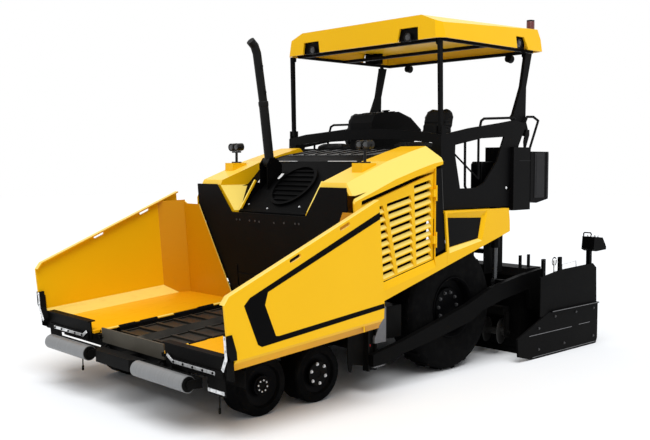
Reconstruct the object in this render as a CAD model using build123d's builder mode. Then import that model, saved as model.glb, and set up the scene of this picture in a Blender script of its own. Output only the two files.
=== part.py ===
"""Wheeled asphalt paver: hopper in front, tractor with operator's stand and roof, floating screed behind.

Frame: +X forward, +Y left, +Z up, millimetres, origin on the ground under the middle of the machine.
"""

from math import cos, radians, sin

from build123d import *
import os

os.makedirs("parts", exist_ok=True)

# --- driving dimensions ---------------------------------------------------------------------------
panel_rear_x = -2975.0  # rear end of the control panels
roller_front_x = 2975.0  # front of the push rollers
sheet = 12.0  # common plate thickness
gap = 5.0  # clearance between pieces that move past each other
seat_gap = 0.3  # clearance between a piece and what it rests on
pin_gap = 0.3  # radial clearance of a plain pin

# rear wheels
rear_axle_x = -455.0
rear_radius = 680.0
rear_width = 370.0
rear_outer_y = 1236.0
rim_radius = 320.0
spindle_radius = 62.0
axle_radius = 104.0

# front bogie wheels: one row of (axle x, steering share of the first row)
front_axles = [(2115.0, "1"), (1455.0, "2")]
front_radius = 270.0
front_width = 286.0
front_outer_y = 1188.0
kingpin_y = 862.0
kingpin_radius = 20.0
knuckle_height = 132.0

# chassis
frame_half = 580.0
frame_plate = 40.0
frame_bottom = 335.0
deck_z = 790.0
deck_thick = 30.0
chassis_rear_x = -1330.0

# hopper: its floor falls forward by this angle from a hinge line at the tractor's front
hopper_fall = 4.4
hopper_origin = (1100.0, 0.0, 709.0)
wing_outer_y = 1630.0
wing_hinge_y = 600.0
wing_front = 1728.0
wing_rear = -62.0
wing_plate = 20.0
wing_crease = 79.0
wing_bottom = -20.0
wing_bottom_y = 1550.0
wing_top_rear = 1166.0
wing_top_front = 597.0
wing_top_front_x = 1675.0
wing_floor_top = 5.0
wing_floor_front = 1655.0
hinge_radius = 20.0
baffle_plane = -77.0
conveyor_drop = 42.0

# push beam
roller_radius = 70.0
roller_z = 424.0
roller_inner_y = 420.0
roller_outer_y = 1198.0
roller_pin_radius = 16.0
beam_height = 84.0

# tractor body
body_half = 1262.0
body_plate = 18.0
hood_half = 800.0
hood_valley_half = 576.0
hood_gap = 0.4
door_rear_x = -98.0
door_front_x = 970.0
door_slope = 0.218
door_gap = 6.0
door_top_gap = 46.0

# operator's stand
stand_half = body_half - 62
stand_front_x = -262.0
stand_rear_x = -1490.0
stand_base_z = 1716.0
stand_floor_z = 1900.0
stand_wall = 24.0
cabinet_top_z = 2338.0

# roof and its parallelogram of posts
roof_post_length = 900.0
roof_post_lean = 20.0
front_post_x = -305.0
front_post_z = 2560.0
rear_post_x = -1860.0
rear_post_z = 2550.0
post_y = body_half - 105
post_width = 36.0
roof_half = 1228.0
roof_front_x = -226.0
roof_rear_x = -2108.0
roof_height = 258.0
roof_peak_y = 935.0
lamp_box_top = 144.0  # ceiling of the roof's hollow over its eave
roof_bottom_z = 3500.0
post_pin_radius = 12.0

# exhaust
exhaust_x = 680.0
exhaust_y = -445.0
exhaust_z = 2215.0
exhaust_radius = 52.0
tailpipe_radius = 47.0

# tow arms and screed
tow_x = 826.0
tow_z = 320.0
arm_inner_y = body_half + 13
arm_thick = 60.0
screed_half = body_half
screed_front_x = -1640.0
screed_rear_x = -2050.0
screed_top_z = 985.0
screed_plate_z = 40.0
extension_out = 200.0
extension_front_x = -2056.0
extension_rear_x = -2420.0
extension_top_z = 470.0
end_plate_outer_y = screed_half + 268
guide_x = -2150.0
guide_z = 280.0
guide_radius = 50.0
guide_end_y = screed_half + 28
end_plate_thick = 24.0
lift_x = -1275.0
lift_y = body_half - 97
lift_top_z = 1650.0
lift_eye_z = 868.0
barrel_radius = 45.0
rod_radius = 27.0

# augers
auger_x = -1478.0
auger_z = 270.0
auger_radius = 145.0
auger_shaft_radius = 42.0
auger_inner_y = 70.0
auger_outer_y = 1170.0

world = Location()
hopper = Location(hopper_origin, (0, hopper_fall, 0))


# --- ways of making plain pieces ------------------------------------------------------------------
def side(y, frame=world):
    """An upright plane along the machine at y; outlines on it are (x, z) and grow towards the right."""
    plane = Plane(origin=(0, y, 0), x_dir=(1, 0, 0), z_dir=(0, -1, 0))
    return Plane(frame * plane.location)


def front(x, frame=world):
    """An upright plane across the machine at x; outlines on it are (y, z) and grow forward."""
    plane = Plane(origin=(x, 0, 0), x_dir=(0, 1, 0), z_dir=(1, 0, 0))
    return Plane(frame * plane.location)


def level(z, frame=world):
    """A level plane at z; outlines on it are (x, y) and grow upward."""
    return Plane(frame * Plane.XY.offset(z).location)


def prism(plane, points, depth, mode=Mode.ADD):
    """A plate or block: an outline of straight edges, as deep as given along the plane's normal."""
    with BuildSketch(plane) as outline:
        Polygon(*points, align=None)
    extrude(outline.sketch, amount=depth, dir=plane.z_dir, mode=mode)


def block(x, y, z, frame=world, mode=Mode.ADD):
    """A square-edged block between two x, two y and two z."""
    middle = ((x[0] + x[1]) / 2, (y[0] + y[1]) / 2, (z[0] + z[1]) / 2)
    with Locations(frame * Location(middle)):
        Box(abs(x[1] - x[0]), abs(y[1] - y[0]), abs(z[1] - z[0]), mode=mode)


def bar(start, end, radius, frame=world, mode=Mode.ADD):
    """A round bar between two points."""
    run = Vector(*end) - Vector(*start)
    plane = Plane(frame * Plane(origin=start, z_dir=run.normalized()).location)
    with BuildSketch(plane) as outline:
        Circle(radius)
    extrude(outline.sketch, amount=run.length, dir=plane.z_dir, mode=mode)


def save(piece, name):
    piece.part.label = name
    export_step(piece.part, f"parts/{name}.step")


def save_pair(left, name):
    """Writes a left-hand piece and its mirror image."""
    save(left, name + "_left")
    with BuildPart() as right:
        mirror(left.part, about=Plane.XZ)
    save(right, name + "_right")


def hopper_z(x, height=0.0):
    """The z of a point at world x and at the given height over the hopper's floor line."""
    run = (x - hopper_origin[0] - height * sin(radians(hopper_fall))) / cos(radians(hopper_fall))
    return hopper_origin[2] - run * sin(radians(hopper_fall)) + height * cos(radians(hopper_fall))


# --- chassis: two longerons, cross members, deck and the hopper's hinge beams ---------------------
frame_front_x = roller_front_x - 320
beam_pivot_x = roller_front_x - 259
cross_beam_x = (2585.0, frame_front_x)
mid_beam_x = (880.0, 960.0)
tongue_half = 55.0
tongue_thick = 44.0
hinge_beam_thick = 34.0
wing_spans = [(60.0, 250.0), (760.0, 950.0), (1400.0, 1590.0)]  # hinge barrels of the wing, along the hopper
frame_spans = [(256.0, 440.0), (956.0, 1140.0), (1210.0, 1394.0)]  # and of the chassis
inner_half = frame_half - frame_plate
# folding cylinders of the wings: the rod's eye and the foot of the barrel
cylinder_local_x = 1416.0
wing_eye_y = 1150.0
wing_cylinder_x = (hopper * Location((cylinder_local_x, wing_eye_y, -66))).position.X
wing_cylinder_z = (hopper * Location((cylinder_local_x, wing_eye_y, -66))).position.Z
wing_base_y = 640.0
wing_base_z = 380.0

with BuildPart() as main_frame:
    # longerons, whose top follows the hopper's fall in front and carries the deck behind
    longeron = [
        (frame_front_x, 400),
        (frame_front_x, hopper_z(frame_front_x, -conveyor_drop - 16)),
        (1000 - seat_gap, hopper_z(1000, -conveyor_drop - 16)),
        (1000 - seat_gap, deck_z),
        (chassis_rear_x, deck_z),
        (chassis_rear_x, 460),
        (-900, 430),
        (-200, frame_bottom),
        (2560, frame_bottom),
    ]
    for outer_y in (frame_half, -inner_half):
        prism(side(outer_y), longeron, frame_plate)
    bar((rear_axle_x, -frame_half - 5, rear_radius), (rear_axle_x, frame_half + 5, rear_radius),
        axle_radius + seat_gap,
        mode=Mode.SUBTRACT)
    block(cross_beam_x, (-inner_half, inner_half), (400, 530))
    block(mid_beam_x, (-inner_half, inner_half), (frame_bottom, 470))
    block((chassis_rear_x, chassis_rear_x + 60), (-inner_half, inner_half), (470, deck_z))
    block((1900, 1960), (-inner_half, inner_half), (frame_bottom, 430))
    # deck under the engine and the stand
    block((chassis_rear_x, 1000 - seat_gap), (-860, 860), (deck_z, deck_z + deck_thick))
    # upright that carries the stand, behind the rear wheels, and the wall in front of them
    for y in (1, -1):
        block((-1290, -1230), (y * 620, y * 860), (deck_z + deck_thick, stand_base_z))
        block((-300, -240), (y * 780, y * 860), (deck_z + deck_thick, stand_base_z))
        # ledge of the longeron under the wing's hinge
        block((0, 1640), (y * inner_half, y * (frame_half + 4)), (-60, -60 + hinge_beam_thick), hopper)
        for start, end in frame_spans:
            bar((start, y * wing_hinge_y, -8), (end, y * wing_hinge_y, -8), hinge_radius, hopper)
            block((start, end), (y * (inner_half + 6), y * (wing_hinge_y - 6)), (-50, -10), hopper)
        pin_start = wing_spans[0][0] - 4
        pin_end = wing_spans[-1][1] + 4
        bar((pin_start, y * wing_hinge_y, -8), (pin_end, y * wing_hinge_y, -8), 9.7, hopper)
        # mud plate behind the rear tyre, on its arm
        block((-1290, -1230), (y * 850, y * (body_half - 162)), (1180, 1230))
        block((-1500, -1152), (y * (body_half - 169), y * (body_half - 157)), (960, 1388))
    # outriggers that carry the side shells
    for x, z in ((262, 985), (700, 870)):
        for y in (1, -1):
            block((x, x + 50), (y * 780, y * 850), (deck_z + deck_thick - 1, z + 30))
            block((x, x + 50), (y * 780, y * (body_half - body_plate - seat_gap)), (z, z + 30))
    # base brackets and pins of the wing cylinders
    for y in (1, -1):
        for near, far in ((-35, -24), (24, 35)):
            block((wing_cylinder_x + near, wing_cylinder_x + far),
                  (y * (frame_half - 1), y * (wing_base_y + 26)),
                  (wing_base_z - 26, wing_base_z + 26))
        bar((wing_cylinder_x - 35, y * wing_base_y, wing_base_z),
            (wing_cylinder_x + 35, y * wing_base_y, wing_base_z), 16)
    # tongue that carries the push beam
    block((frame_front_x - 2, beam_pivot_x + 40), (-tongue_half, tongue_half),
          (roller_z - tongue_thick / 2, roller_z + tongue_thick / 2))
    bar((beam_pivot_x, 0, 300), (beam_pivot_x, 0, 560), 20 + pin_gap, mode=Mode.SUBTRACT)
save(main_frame, "main_frame")

# --- conveyor: steel floor with two chains of slats between the longerons -------------------------
slat_pitch = 200.0
slat_count = 8
conveyor_rear = baffle_plane + 20
conveyor_front = 1600.0
chain_y = (70.0, 500.0)
with BuildPart() as conveyor:
    floor_z = -conveyor_drop
    block((conveyor_rear, conveyor_front), (-inner_half + seat_gap, inner_half - seat_gap),
          (floor_z - 14, floor_z), hopper)
    for y in (1, -1):
        for track in chain_y:
            block((conveyor_rear, conveyor_front), (y * track - 14, y * track + 14),
                  (floor_z, floor_z + 12), hopper)
        for row in range(slat_count):
            start = conveyor_rear + 60 + row * slat_pitch
            block((start, start + 34), (y * chain_y[0], y * chain_y[1]), (floor_z, floor_z + 20), hopper)
    # turned-up lip and centre hood over the chain's front shaft
    block((conveyor_front, conveyor_front + 14), (-inner_half + seat_gap, inner_half - seat_gap),
          (floor_z - 60, 40), hopper)
    prism(front(conveyor_rear, hopper), [(-48, floor_z), (48, floor_z), (0, floor_z + 60)],
          conveyor_front - conveyor_rear)
save(conveyor, "conveyor")

# --- bulkhead: black baffle behind the hopper -----------------------------------------------------
baffle_foot_y = 622.0
baffle_top_y = 1190.0
baffle_shoulder = 1045.0
baffle_top = 1262.0
valley_z = 985.0
baffle_edge = [
    (baffle_foot_y, 0),
    (baffle_foot_y + 22, 30),
    (baffle_top_y, baffle_shoulder),
    (baffle_top_y, baffle_top),
    (hood_half + 36, baffle_top),
    (hood_valley_half + 30, valley_z - 20),
]
with BuildPart() as hopper_bulkhead:
    outline = baffle_edge + [(-y, z) for y, z in reversed(baffle_edge)]
    prism(front(baffle_plane - 18, hopper), outline, 18)
    # rubber flaps over the conveyor's mouth
    flap_width = 205.0
    for place in range(5):
        middle = (place - 2) * (flap_width + 4)
        block((baffle_plane, baffle_plane + 10), (middle - flap_width / 2, middle + flap_width / 2),
              (floor_z + 24, 250), hopper)
    block((baffle_plane, baffle_plane + 14), (-530, 530), (250, 300), hopper)
    # foot that stands on the longerons and the deck
    block((1000, 1020), (-frame_half, frame_half), (deck_z - 80, deck_z + 60))
    prism(side(frame_half), [(1002, deck_z), (1022, 720), (1040, 760), (1060, 1100), (1002, 1100)], 30)
    prism(side(-frame_half + 30), [(1002, deck_z), (1022, 720), (1040, 760), (1060, 1100), (1002, 1100)],
          30)
save(hopper_bulkhead, "hopper_bulkhead")

# --- wings: the hopper's two folding sides --------------------------------------------------------
top_slope = (wing_top_rear - wing_top_front) / (wing_top_front_x - wing_rear)
rear_wall_edge = 24.0
corner_run = 185.0


def baffle_y(height):
    """Half width of the baffle at a height over the hopper's floor line."""
    low_y, low_z = baffle_edge[1]
    return low_y + (baffle_top_y - low_y) * (height - low_z) / (baffle_shoulder - low_z)


with BuildPart() as wing:
    # outer wall, in the plane of the machine's side
    wall = [
        (wing_rear + 12, wing_crease),
        (1640, wing_crease),
        (1721, 282),
        (wing_front, 536),
        (wing_top_front_x, wing_top_front),
        (wing_rear, wing_top_rear),
        (wing_rear - 4, 200),
    ]
    prism(side(wing_outer_y, hopper), wall, wing_plate)
    # turned-in rim along the top and the front edge
    rim = [
        (wing_rear, wing_top_rear),
        (wing_top_front_x, wing_top_front),
        (wing_front, 536),
        (wing_front - 14, 532),
        (wing_top_front_x - 6, wing_top_front - 14),
        (wing_rear, wing_top_rear - 14),
    ]
    prism(side(wing_outer_y, hopper), rim, 62)
    # floor, skirt and the sloping band inside
    section = [
        (wing_outer_y, wing_crease),
        (wing_bottom_y, wing_bottom),
        (wing_hinge_y + 12, wing_bottom),
        (wing_hinge_y + 12, wing_floor_top),
        (1515, wing_floor_top),
        (wing_outer_y - wing_plate, 104),
        (wing_outer_y, 104),
    ]
    prism(front(wing_rear + 20, hopper), section, wing_floor_front - wing_rear - 20)
    # corner facet and rear wall, whose inner edge follows the baffle
    facet = [
        (corner_run, wing_outer_y - wing_plate),
        (corner_run + 18, wing_outer_y - wing_plate),
        (wing_rear + sheet + 5, wing_outer_y - corner_run - 6),
        (wing_rear, wing_outer_y - corner_run - 6),
    ]
    prism(level(0, hopper), facet, wing_top_rear - 90)
    rear_top = 1033.0
    rear_wall = [
        (wing_outer_y - corner_run, wing_floor_top),
        (wing_outer_y - corner_run, rear_top + 30),
        (wing_outer_y - corner_run - 60, rear_top),
        (baffle_y(rear_top) - rear_wall_edge, rear_top),
        (baffle_y(wing_floor_top) - rear_wall_edge + 24, wing_floor_top),
    ]
    prism(front(wing_rear, hopper), rear_wall, sheet)
    block((wing_rear, wing_rear + 30), (baffle_y(0) + 10, wing_bottom_y), (wing_bottom, wing_floor_top),
          hopper)
    # two hand slots under the rim
    tilt = -18.2
    for x, z in ((974, 792), (384, 983)):
        with BuildSketch(side(wing_outer_y + 1, hopper)) as slot:
            with Locations((x, z)):
                SlotOverall(132, 34, rotation=tilt)
        extrude(slot.sketch, amount=wing_plate + 2, dir=side(0, hopper).z_dir, mode=Mode.SUBTRACT)
    # hinge barrels on the floor's inner edge
    for start, end in wing_spans:
        bar((start, wing_hinge_y, -8), (end, wing_hinge_y, -8), hinge_radius, hopper)
        block((start, end), (wing_hinge_y, wing_hinge_y + 20), (-20, 5), hopper)
    for start, end in frame_spans:
        block((start - 5, end + 5), (wing_hinge_y, wing_hinge_y + hinge_radius + gap), (-30, 20), hopper,
              mode=Mode.SUBTRACT)
    bar((-20, wing_hinge_y, -8), (1700, wing_hinge_y, -8), 10, hopper, mode=Mode.SUBTRACT)
    # lug for the folding cylinder under the floor
    block((cylinder_local_x + 26, cylinder_local_x + 42), (wing_eye_y - 50, wing_eye_y + 50),
          (-66, wing_bottom), hopper)
    bar((cylinder_local_x + 26, wing_eye_y, -66), (cylinder_local_x + 42, wing_eye_y, -66), 34, hopper)
save_pair(wing, "hopper_wing")

# --- aprons: black plates that close the wings' front ---------------------------------------------
apron_x = wing_floor_front + seat_gap
with BuildPart() as apron:
    block((apron_x, apron_x + 14), (648, 1600), (-92, 88), hopper)
    block((apron_x - 40, apron_x + 34), (648, 1500), (88, 100), hopper)
    prism(side(wing_outer_y - 24, hopper), [(apron_x, -92), (apron_x + 60, -60), (apron_x + 66, 250),
                                            (apron_x, 250)], 14)
    block((apron_x + 14, apron_x + 30), (720, 1480), (-40, -24), hopper)
save_pair(apron, "apron")

# --- wing folding cylinders -----------------------------------------------------------------------
wing_run = Vector(0, wing_eye_y - wing_base_y, wing_cylinder_z - wing_base_z)
with BuildPart() as wing_barrel:
    base = Vector(wing_cylinder_x, wing_base_y, wing_base_z)
    aim = wing_run.normalized()
    tip = base + aim * (wing_run.length - 130)
    bar(tuple(base), tuple(base + aim * 66), 20)
    bar(tuple(base + aim * 60), tuple(tip), 38)
    bar((wing_cylinder_x - 22, wing_base_y, wing_base_z), (wing_cylinder_x + 22, wing_base_y, wing_base_z),
        32)
    bar((wing_cylinder_x - 23, wing_base_y, wing_base_z), (wing_cylinder_x + 23, wing_base_y, wing_base_z),
        16 + pin_gap, mode=Mode.SUBTRACT)
    bar(tuple(base + aim * 80), tuple(tip + aim), 20 + pin_gap, mode=Mode.SUBTRACT)
save_pair(wing_barrel, "wing_cylinder")
with BuildPart() as wing_rod:
    eye = base + wing_run
    bar(tuple(eye - aim * 320), tuple(eye), 20)
    bar((wing_cylinder_x - 20, eye.Y, eye.Z), (wing_cylinder_x + 20, eye.Y, eye.Z), 30)
save_pair(wing_rod, "wing_rod")

# --- push beam with its two rollers ---------------------------------------------------------------
roller_x = roller_front_x - roller_radius
beam_x = (roller_x - roller_radius - 48, roller_x - roller_radius - 8)
with BuildPart() as push_beam:
    beam_low = roller_z - beam_height / 2
    beam_high = roller_z + beam_height / 2
    block(beam_x, (-roller_outer_y - 30, roller_outer_y + 30), (beam_low, beam_high))
    for low, high in ((beam_low - 6, roller_z - tongue_thick / 2 - 1),
                      (roller_z + tongue_thick / 2 + 1, beam_high + 6)):
        block((beam_pivot_x - 40, beam_x[0] + 2), (-80, 80), (low, high))
    bar((beam_pivot_x, 0, beam_low - 6), (beam_pivot_x, 0, beam_high + 6), 20)
    # pressed cover over the middle of the beam
    cover_x = beam_x[1] + 86
    cover = [(beam_x[0], -382), (beam_x[1] + 8, -382), (cover_x, -290), (cover_x, 290),
             (beam_x[1] + 8, 382), (beam_x[0], 382)]
    prism(level(beam_low - 14), cover, beam_height + 24)
    for y in (1, -1):
        for near, far in ((roller_inner_y - 30, roller_inner_y - 14),
                          (roller_outer_y + 14, roller_outer_y + 30)):
            prism(side(max(y * near, y * far)), [
                (beam_x[0], beam_low), (roller_x + 20, roller_z - 34), (roller_x + 34, roller_z),
                (roller_x + 20, roller_z + 34), (beam_x[0], beam_high)], 16)
        for near, far in ((roller_inner_y - 30, roller_inner_y + 20),
                          (roller_outer_y - 20, roller_outer_y + 30)):
            bar((roller_x, y * near, roller_z), (roller_x, y * far, roller_z), roller_pin_radius)
save(push_beam, "push_beam")
with BuildPart() as push_roller:
    bar((roller_x, roller_inner_y, roller_z), (roller_x, roller_outer_y, roller_z), roller_radius)
    for near, far in ((roller_inner_y - 1, roller_inner_y + 40), (roller_outer_y - 40, roller_outer_y + 1)):
        bar((roller_x, near, roller_z), (roller_x, far, roller_z), roller_pin_radius + pin_gap,
            mode=Mode.SUBTRACT)
save_pair(push_roller, "push_roller")

# --- front bogies: walking beam, knuckles, solid tyres on dished steel discs ----------------------
wheel_middle = front_outer_y - front_width / 2
wheel_inner = front_outer_y - front_width
recess_radius = 172.0
lug_reach = 48.0
stub_radius = 34.0
stub_end_y = wheel_middle + 80
with BuildPart() as axle_beams:
    for y in (1, -1):
        # walking beam of the bogie and its pivot on the longeron
        prism(side(max(y * 690, y * 770)), [(1330, 200), (2240, 200), (2240, 300), (1840, 350), (1730, 350),
                                            (1330, 300)], 80)
        bar((1785, y * (frame_half + seat_gap), 345), (1785, y * 800, 345), 52)
        for x, _ in front_axles:
            for low, high in ((front_radius - knuckle_height / 2 - 26,
                               front_radius - knuckle_height / 2 - 0.5),
                              (front_radius + knuckle_height / 2 + 0.5,
                               front_radius + knuckle_height / 2 + 26)):
                block((x - 44, x + 44), (y * 692, y * (kingpin_y + lug_reach - 8)), (low, high))
            block((x - 44, x + 44), (y * 692, y * 772), (front_radius - 90, front_radius + 92))
            bar((x, y * kingpin_y, front_radius - knuckle_height / 2 - 26),
                (x, y * kingpin_y, front_radius + knuckle_height / 2 + 26), kingpin_radius - pin_gap)
    # rear axle with its spindles
    bar((rear_axle_x, -850, rear_radius), (rear_axle_x, 850, rear_radius), axle_radius)
    bar((rear_axle_x, -1120, rear_radius), (rear_axle_x, 1120, rear_radius), spindle_radius)
    for y in (1, -1):
        block((rear_axle_x - 90, rear_axle_x + 90), (y * (frame_half + seat_gap), y * 700),
              (500, deck_z - seat_gap))
        bar((rear_axle_x, y * 862, rear_radius), (rear_axle_x, y * 892, rear_radius), 160)
    block((rear_axle_x - 160, rear_axle_x + 160), (-180, 180), (520, deck_z - seat_gap))
save(axle_beams, "axle_beams")

for x, row in front_axles:
    with BuildPart() as knuckle:
        bar((x, kingpin_y, front_radius - knuckle_height / 2),
            (x, kingpin_y, front_radius + knuckle_height / 2), 42)
        bar((x, kingpin_y, front_radius), (x, stub_end_y, front_radius), stub_radius)
        block((x - 170, x), (kingpin_y - 20, kingpin_y + 10), (front_radius - 15, front_radius + 15))
        bar((x, kingpin_y, 100), (x, kingpin_y, 400), kingpin_radius, mode=Mode.SUBTRACT)
    save_pair(knuckle, f"knuckle_{row}")
    with BuildPart() as front_wheel:
        # tyre, disc and hub as one turned piece
        with BuildSketch(Plane(origin=(x, 0, front_radius), x_dir=(0, 1, 0), z_dir=(1, 0, 0))) as turned:
            Polygon(
                (wheel_inner, recess_radius), (wheel_inner + 14, front_radius - 14),
                (wheel_inner + 34, front_radius), (front_outer_y - 34, front_radius),
                (front_outer_y - 14, front_radius - 14), (front_outer_y - 4, 190),
                (front_outer_y - 34, 176), (front_outer_y - 58, 96), (front_outer_y - 22, 88),
                (front_outer_y - 18, 0), (wheel_middle + 84, 0), (wheel_middle + 84, stub_radius + pin_gap),
                (wheel_middle, stub_radius + pin_gap), (wheel_middle, 78),
                (wheel_middle + 40, 82), (wheel_middle + 40, recess_radius), align=None)
        revolve(turned.sketch, axis=Axis((x, 0, front_radius), (0, 1, 0)))
    save_pair(front_wheel, f"front_wheel_{row}")

# --- rear wheels ----------------------------------------------------------------------------------
tyre_inner = rear_outer_y - rear_width
rear_middle = rear_outer_y - rear_width / 2
rear_section = Plane(origin=(rear_axle_x, 0, rear_radius), x_dir=(0, 1, 0), z_dir=(1, 0, 0))
rear_spin = Axis((rear_axle_x, 0, rear_radius), (0, 1, 0))
with BuildPart() as rear_tyre:
    with BuildSketch(rear_section) as turned:
        Polygon(
            (tyre_inner + 20, rim_radius + seat_gap), (tyre_inner, rim_radius + 90),
            (tyre_inner + 4, rear_radius - 120), (tyre_inner + 34, rear_radius - 34),
            (tyre_inner + 80, rear_radius), (rear_outer_y - 80, rear_radius),
            (rear_outer_y - 34, rear_radius - 34), (rear_outer_y - 4, rear_radius - 120),
            (rear_outer_y, rim_radius + 90), (rear_outer_y - 20, rim_radius + seat_gap), align=None)
    revolve(turned.sketch, axis=rear_spin)
save_pair(rear_tyre, "rear_tyre")
with BuildPart() as rear_rim:
    with BuildSketch(rear_section) as turned:
        Polygon(
            (tyre_inner + 30, rim_radius - 22), (tyre_inner + 8, rim_radius - 6), (tyre_inner + 8,
                                                                                   rim_radius),
            (rear_outer_y - 8, rim_radius), (rear_outer_y - 8, rim_radius - 6), (rear_outer_y - 30,
                                                                                 rim_radius - 22),
            (rear_middle + 74, rim_radius - 30), (rear_middle + 60, 205), (rear_middle + 92, 190),
            (rear_middle + 92, 0), (1130, 0), (1130, spindle_radius + pin_gap),
            (900, spindle_radius + pin_gap), (900, 150), (rear_middle + 34, 160), (rear_middle + 34,
                                                                                   rim_radius - 30),
            align=None)
    revolve(turned.sketch, axis=rear_spin)
save_pair(rear_rim, "rear_rim")

# --- engine and side tanks ------------------------------------------------------------------------
screen_y = body_half - 82
with BuildPart() as engine_block:
    block((-150, 760), (-420, 420), (deck_z + deck_thick + seat_gap, 1560))
    # cooler screens behind the louvred doors, on their arms
    for y in (1, -1):
        screen = [(-60, 1240), (500, 1100), (960, 1020), (960, 1850), (-60, 2080)]
        prism(side(max(y * screen_y, y * (screen_y - 20))), screen, 20)
        for x in (0, 600):
            block((x, x + 40), (y * 419, y * (screen_y - 19)), (1240, 1270))
save(engine_block, "engine_block")
with BuildPart() as side_tanks:
    for y in (1, -1):
        prism(side(max(y * (frame_half + seat_gap), y * (body_half - 72))),
              [(330, 470), (840, 470), (900, 560), (900, deck_z - seat_gap), (330, deck_z - seat_gap)],
              body_half - 72 - frame_half - seat_gap)
        # rails that hold the front of the tow arms
        block((tow_x - 70, tow_x + 74), (y * (frame_half + seat_gap), y * (body_half - 57)), (400, 474))
        block((tow_x - 60, tow_x + 60), (y * (body_half - 67), y * (arm_inner_y - 40)), (210, 700))
        block((tow_x - 62, tow_x - 40), (y * (body_half - 67), y * (arm_inner_y - 6)), (210, 700))
        block((tow_x + 40, tow_x + 62), (y * (body_half - 67), y * (arm_inner_y - 6)), (210, 700))
    bar((tow_x, -arm_inner_y - 25, tow_z), (tow_x, arm_inner_y + 25, tow_z), 38 + pin_gap, mode=Mode.SUBTRACT)
save(side_tanks, "side_tanks")

# --- hood between the side shells -----------------------------------------------------------------
hood_front_x = 1012.0
hood_rear_x = -205.0
hood_top = [(980, 1706), (440, 2222), (185, 2290), (hood_rear_x, 2350)]
valley_edge_z = 1695.0
crest_edge_z = 1963.0
with BuildPart() as engine_hood:
    prism(side(hood_half - hood_gap), [(hood_front_x, 1652), (hood_front_x, 1690), *hood_top,
                                       (hood_rear_x, 1652)],
          2 * (hood_half - hood_gap))
    for y in (1, -1):
        wedge = [(y * (hood_valley_half - hood_gap), 1640), (y * (hood_valley_half - hood_gap),
                                                             valley_edge_z),
                 (y * (hood_half - hood_gap), crest_edge_z), (y * (hood_half + 1),
                                                              crest_edge_z), (y * (hood_half + 1), 1640)]
        prism(front(-300), wedge, 1400, mode=Mode.SUBTRACT)
    # fan grille as a raised ring with vanes on the front slope
    slope_run = Vector(hood_top[0][0] - hood_top[1][0], 0, hood_top[1][1] - hood_top[0][1])
    slope_middle = (Vector(hood_top[0][0], 0, hood_top[0][1]) + Vector(hood_top[1][0], 0,
                                                                       hood_top[1][1])) / 2
    ring_plane = Plane(origin=tuple(slope_middle), x_dir=(0, 1, 0), z_dir=(slope_run.Z, 0, slope_run.X))
    ring_radius = 262.0
    with BuildSketch(ring_plane) as ring:
        Circle(ring_radius + 34)
        Circle(ring_radius, mode=Mode.SUBTRACT)
    extrude(ring.sketch, amount=26, dir=ring_plane.z_dir)
    for place in range(-3, 4):
        height = place * 70
        with BuildSketch(ring_plane) as vane:
            with Locations((0, height)):
                Rectangle(2 * (ring_radius**2 - height**2) ** 0.5 + 16, 16)
        extrude(vane.sketch, amount=16, dir=ring_plane.z_dir)
    # cheeks and pins that hold the foot of the exhaust
    cheek = [(560, 1900), (760, 1850), (772, 2190), (722, 2262), (632, 2255), (560, 2190)]
    for near in (exhaust_y - exhaust_radius - 16, exhaust_y + exhaust_radius + 6):
        prism(side(near + 10), cheek, 10)
    pins = ((exhaust_y - exhaust_radius - 16, exhaust_y - exhaust_radius + 20),
            (exhaust_y + exhaust_radius - 20, exhaust_y + exhaust_radius + 16))
    for near, far in pins:
        bar((exhaust_x, near, exhaust_z), (exhaust_x, far, exhaust_z), 18)
save(engine_hood, "engine_hood")

# --- exhaust: silencer tube, tail pipe and its bent tip -------------------------------------------
tail_foot = (exhaust_x + 84, exhaust_y, 2850)
tail_bend = (exhaust_x + 172, exhaust_y, 3385)
tail_bow = (exhaust_x + 205, exhaust_y, 3462)
tail_tip = (exhaust_x + 262, exhaust_y, 3512)
with BuildPart() as exhaust_stack:
    bar((exhaust_x, exhaust_y, exhaust_z), tail_foot, exhaust_radius)
    bar((exhaust_x, exhaust_y - exhaust_radius + 1, exhaust_z),
        (exhaust_x, exhaust_y + exhaust_radius - 1, exhaust_z), 60)
    for start, end in ((tail_foot, tail_bend), (tail_bend, tail_bow), (tail_bow, tail_tip)):
        bar(start, end, tailpipe_radius)
    with Locations(tail_bend, tail_bow):
        Sphere(tailpipe_radius)
    bar((exhaust_x, exhaust_y - 100, exhaust_z), (exhaust_x, exhaust_y + 100, exhaust_z), 18 + pin_gap,
        mode=Mode.SUBTRACT)
save(exhaust_stack, "exhaust_stack")

# --- yellow side shells over the engine bay, with the front part of the sill ----------------------
sill_slope = (1439 - 874) / (635 + 1417)
shell_front_x = 1084.0
seam_x = -300.0
shoulder_width = 118.0
shoulder_drop = 178.0
door_recess = 30.0
lamp_x = 690.0
lamp_pad_z = 2206.0
shell_top = [(shell_front_x, 1968), (1060, 2020), (800, 2114), (500, 2224), (150, 2322), (-85, 2380)]


def sill_z(x):
    """Lower edge of the side cover."""
    return 874 + (635 - x) * sill_slope


def door_low(x, rise=0.0):
    """Lower edge of the louvred door, and lines parallel to it."""
    return 1218 - (x - door_rear_x) * door_slope + rise


def door_high(x):
    """Upper edge of the louvred door."""
    return 2146 - (x - door_rear_x) * 0.283


def door_outline(margin, top=0.0):
    """The door's outline, grown by a margin, its upper edge lowered."""
    rear = door_rear_x - margin
    fore = door_front_x + margin
    return [(rear, door_low(rear) - margin), (fore, door_low(fore) - margin),
            (fore, door_high(fore) + margin - top), (rear, door_high(rear) + margin - top)]


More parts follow.
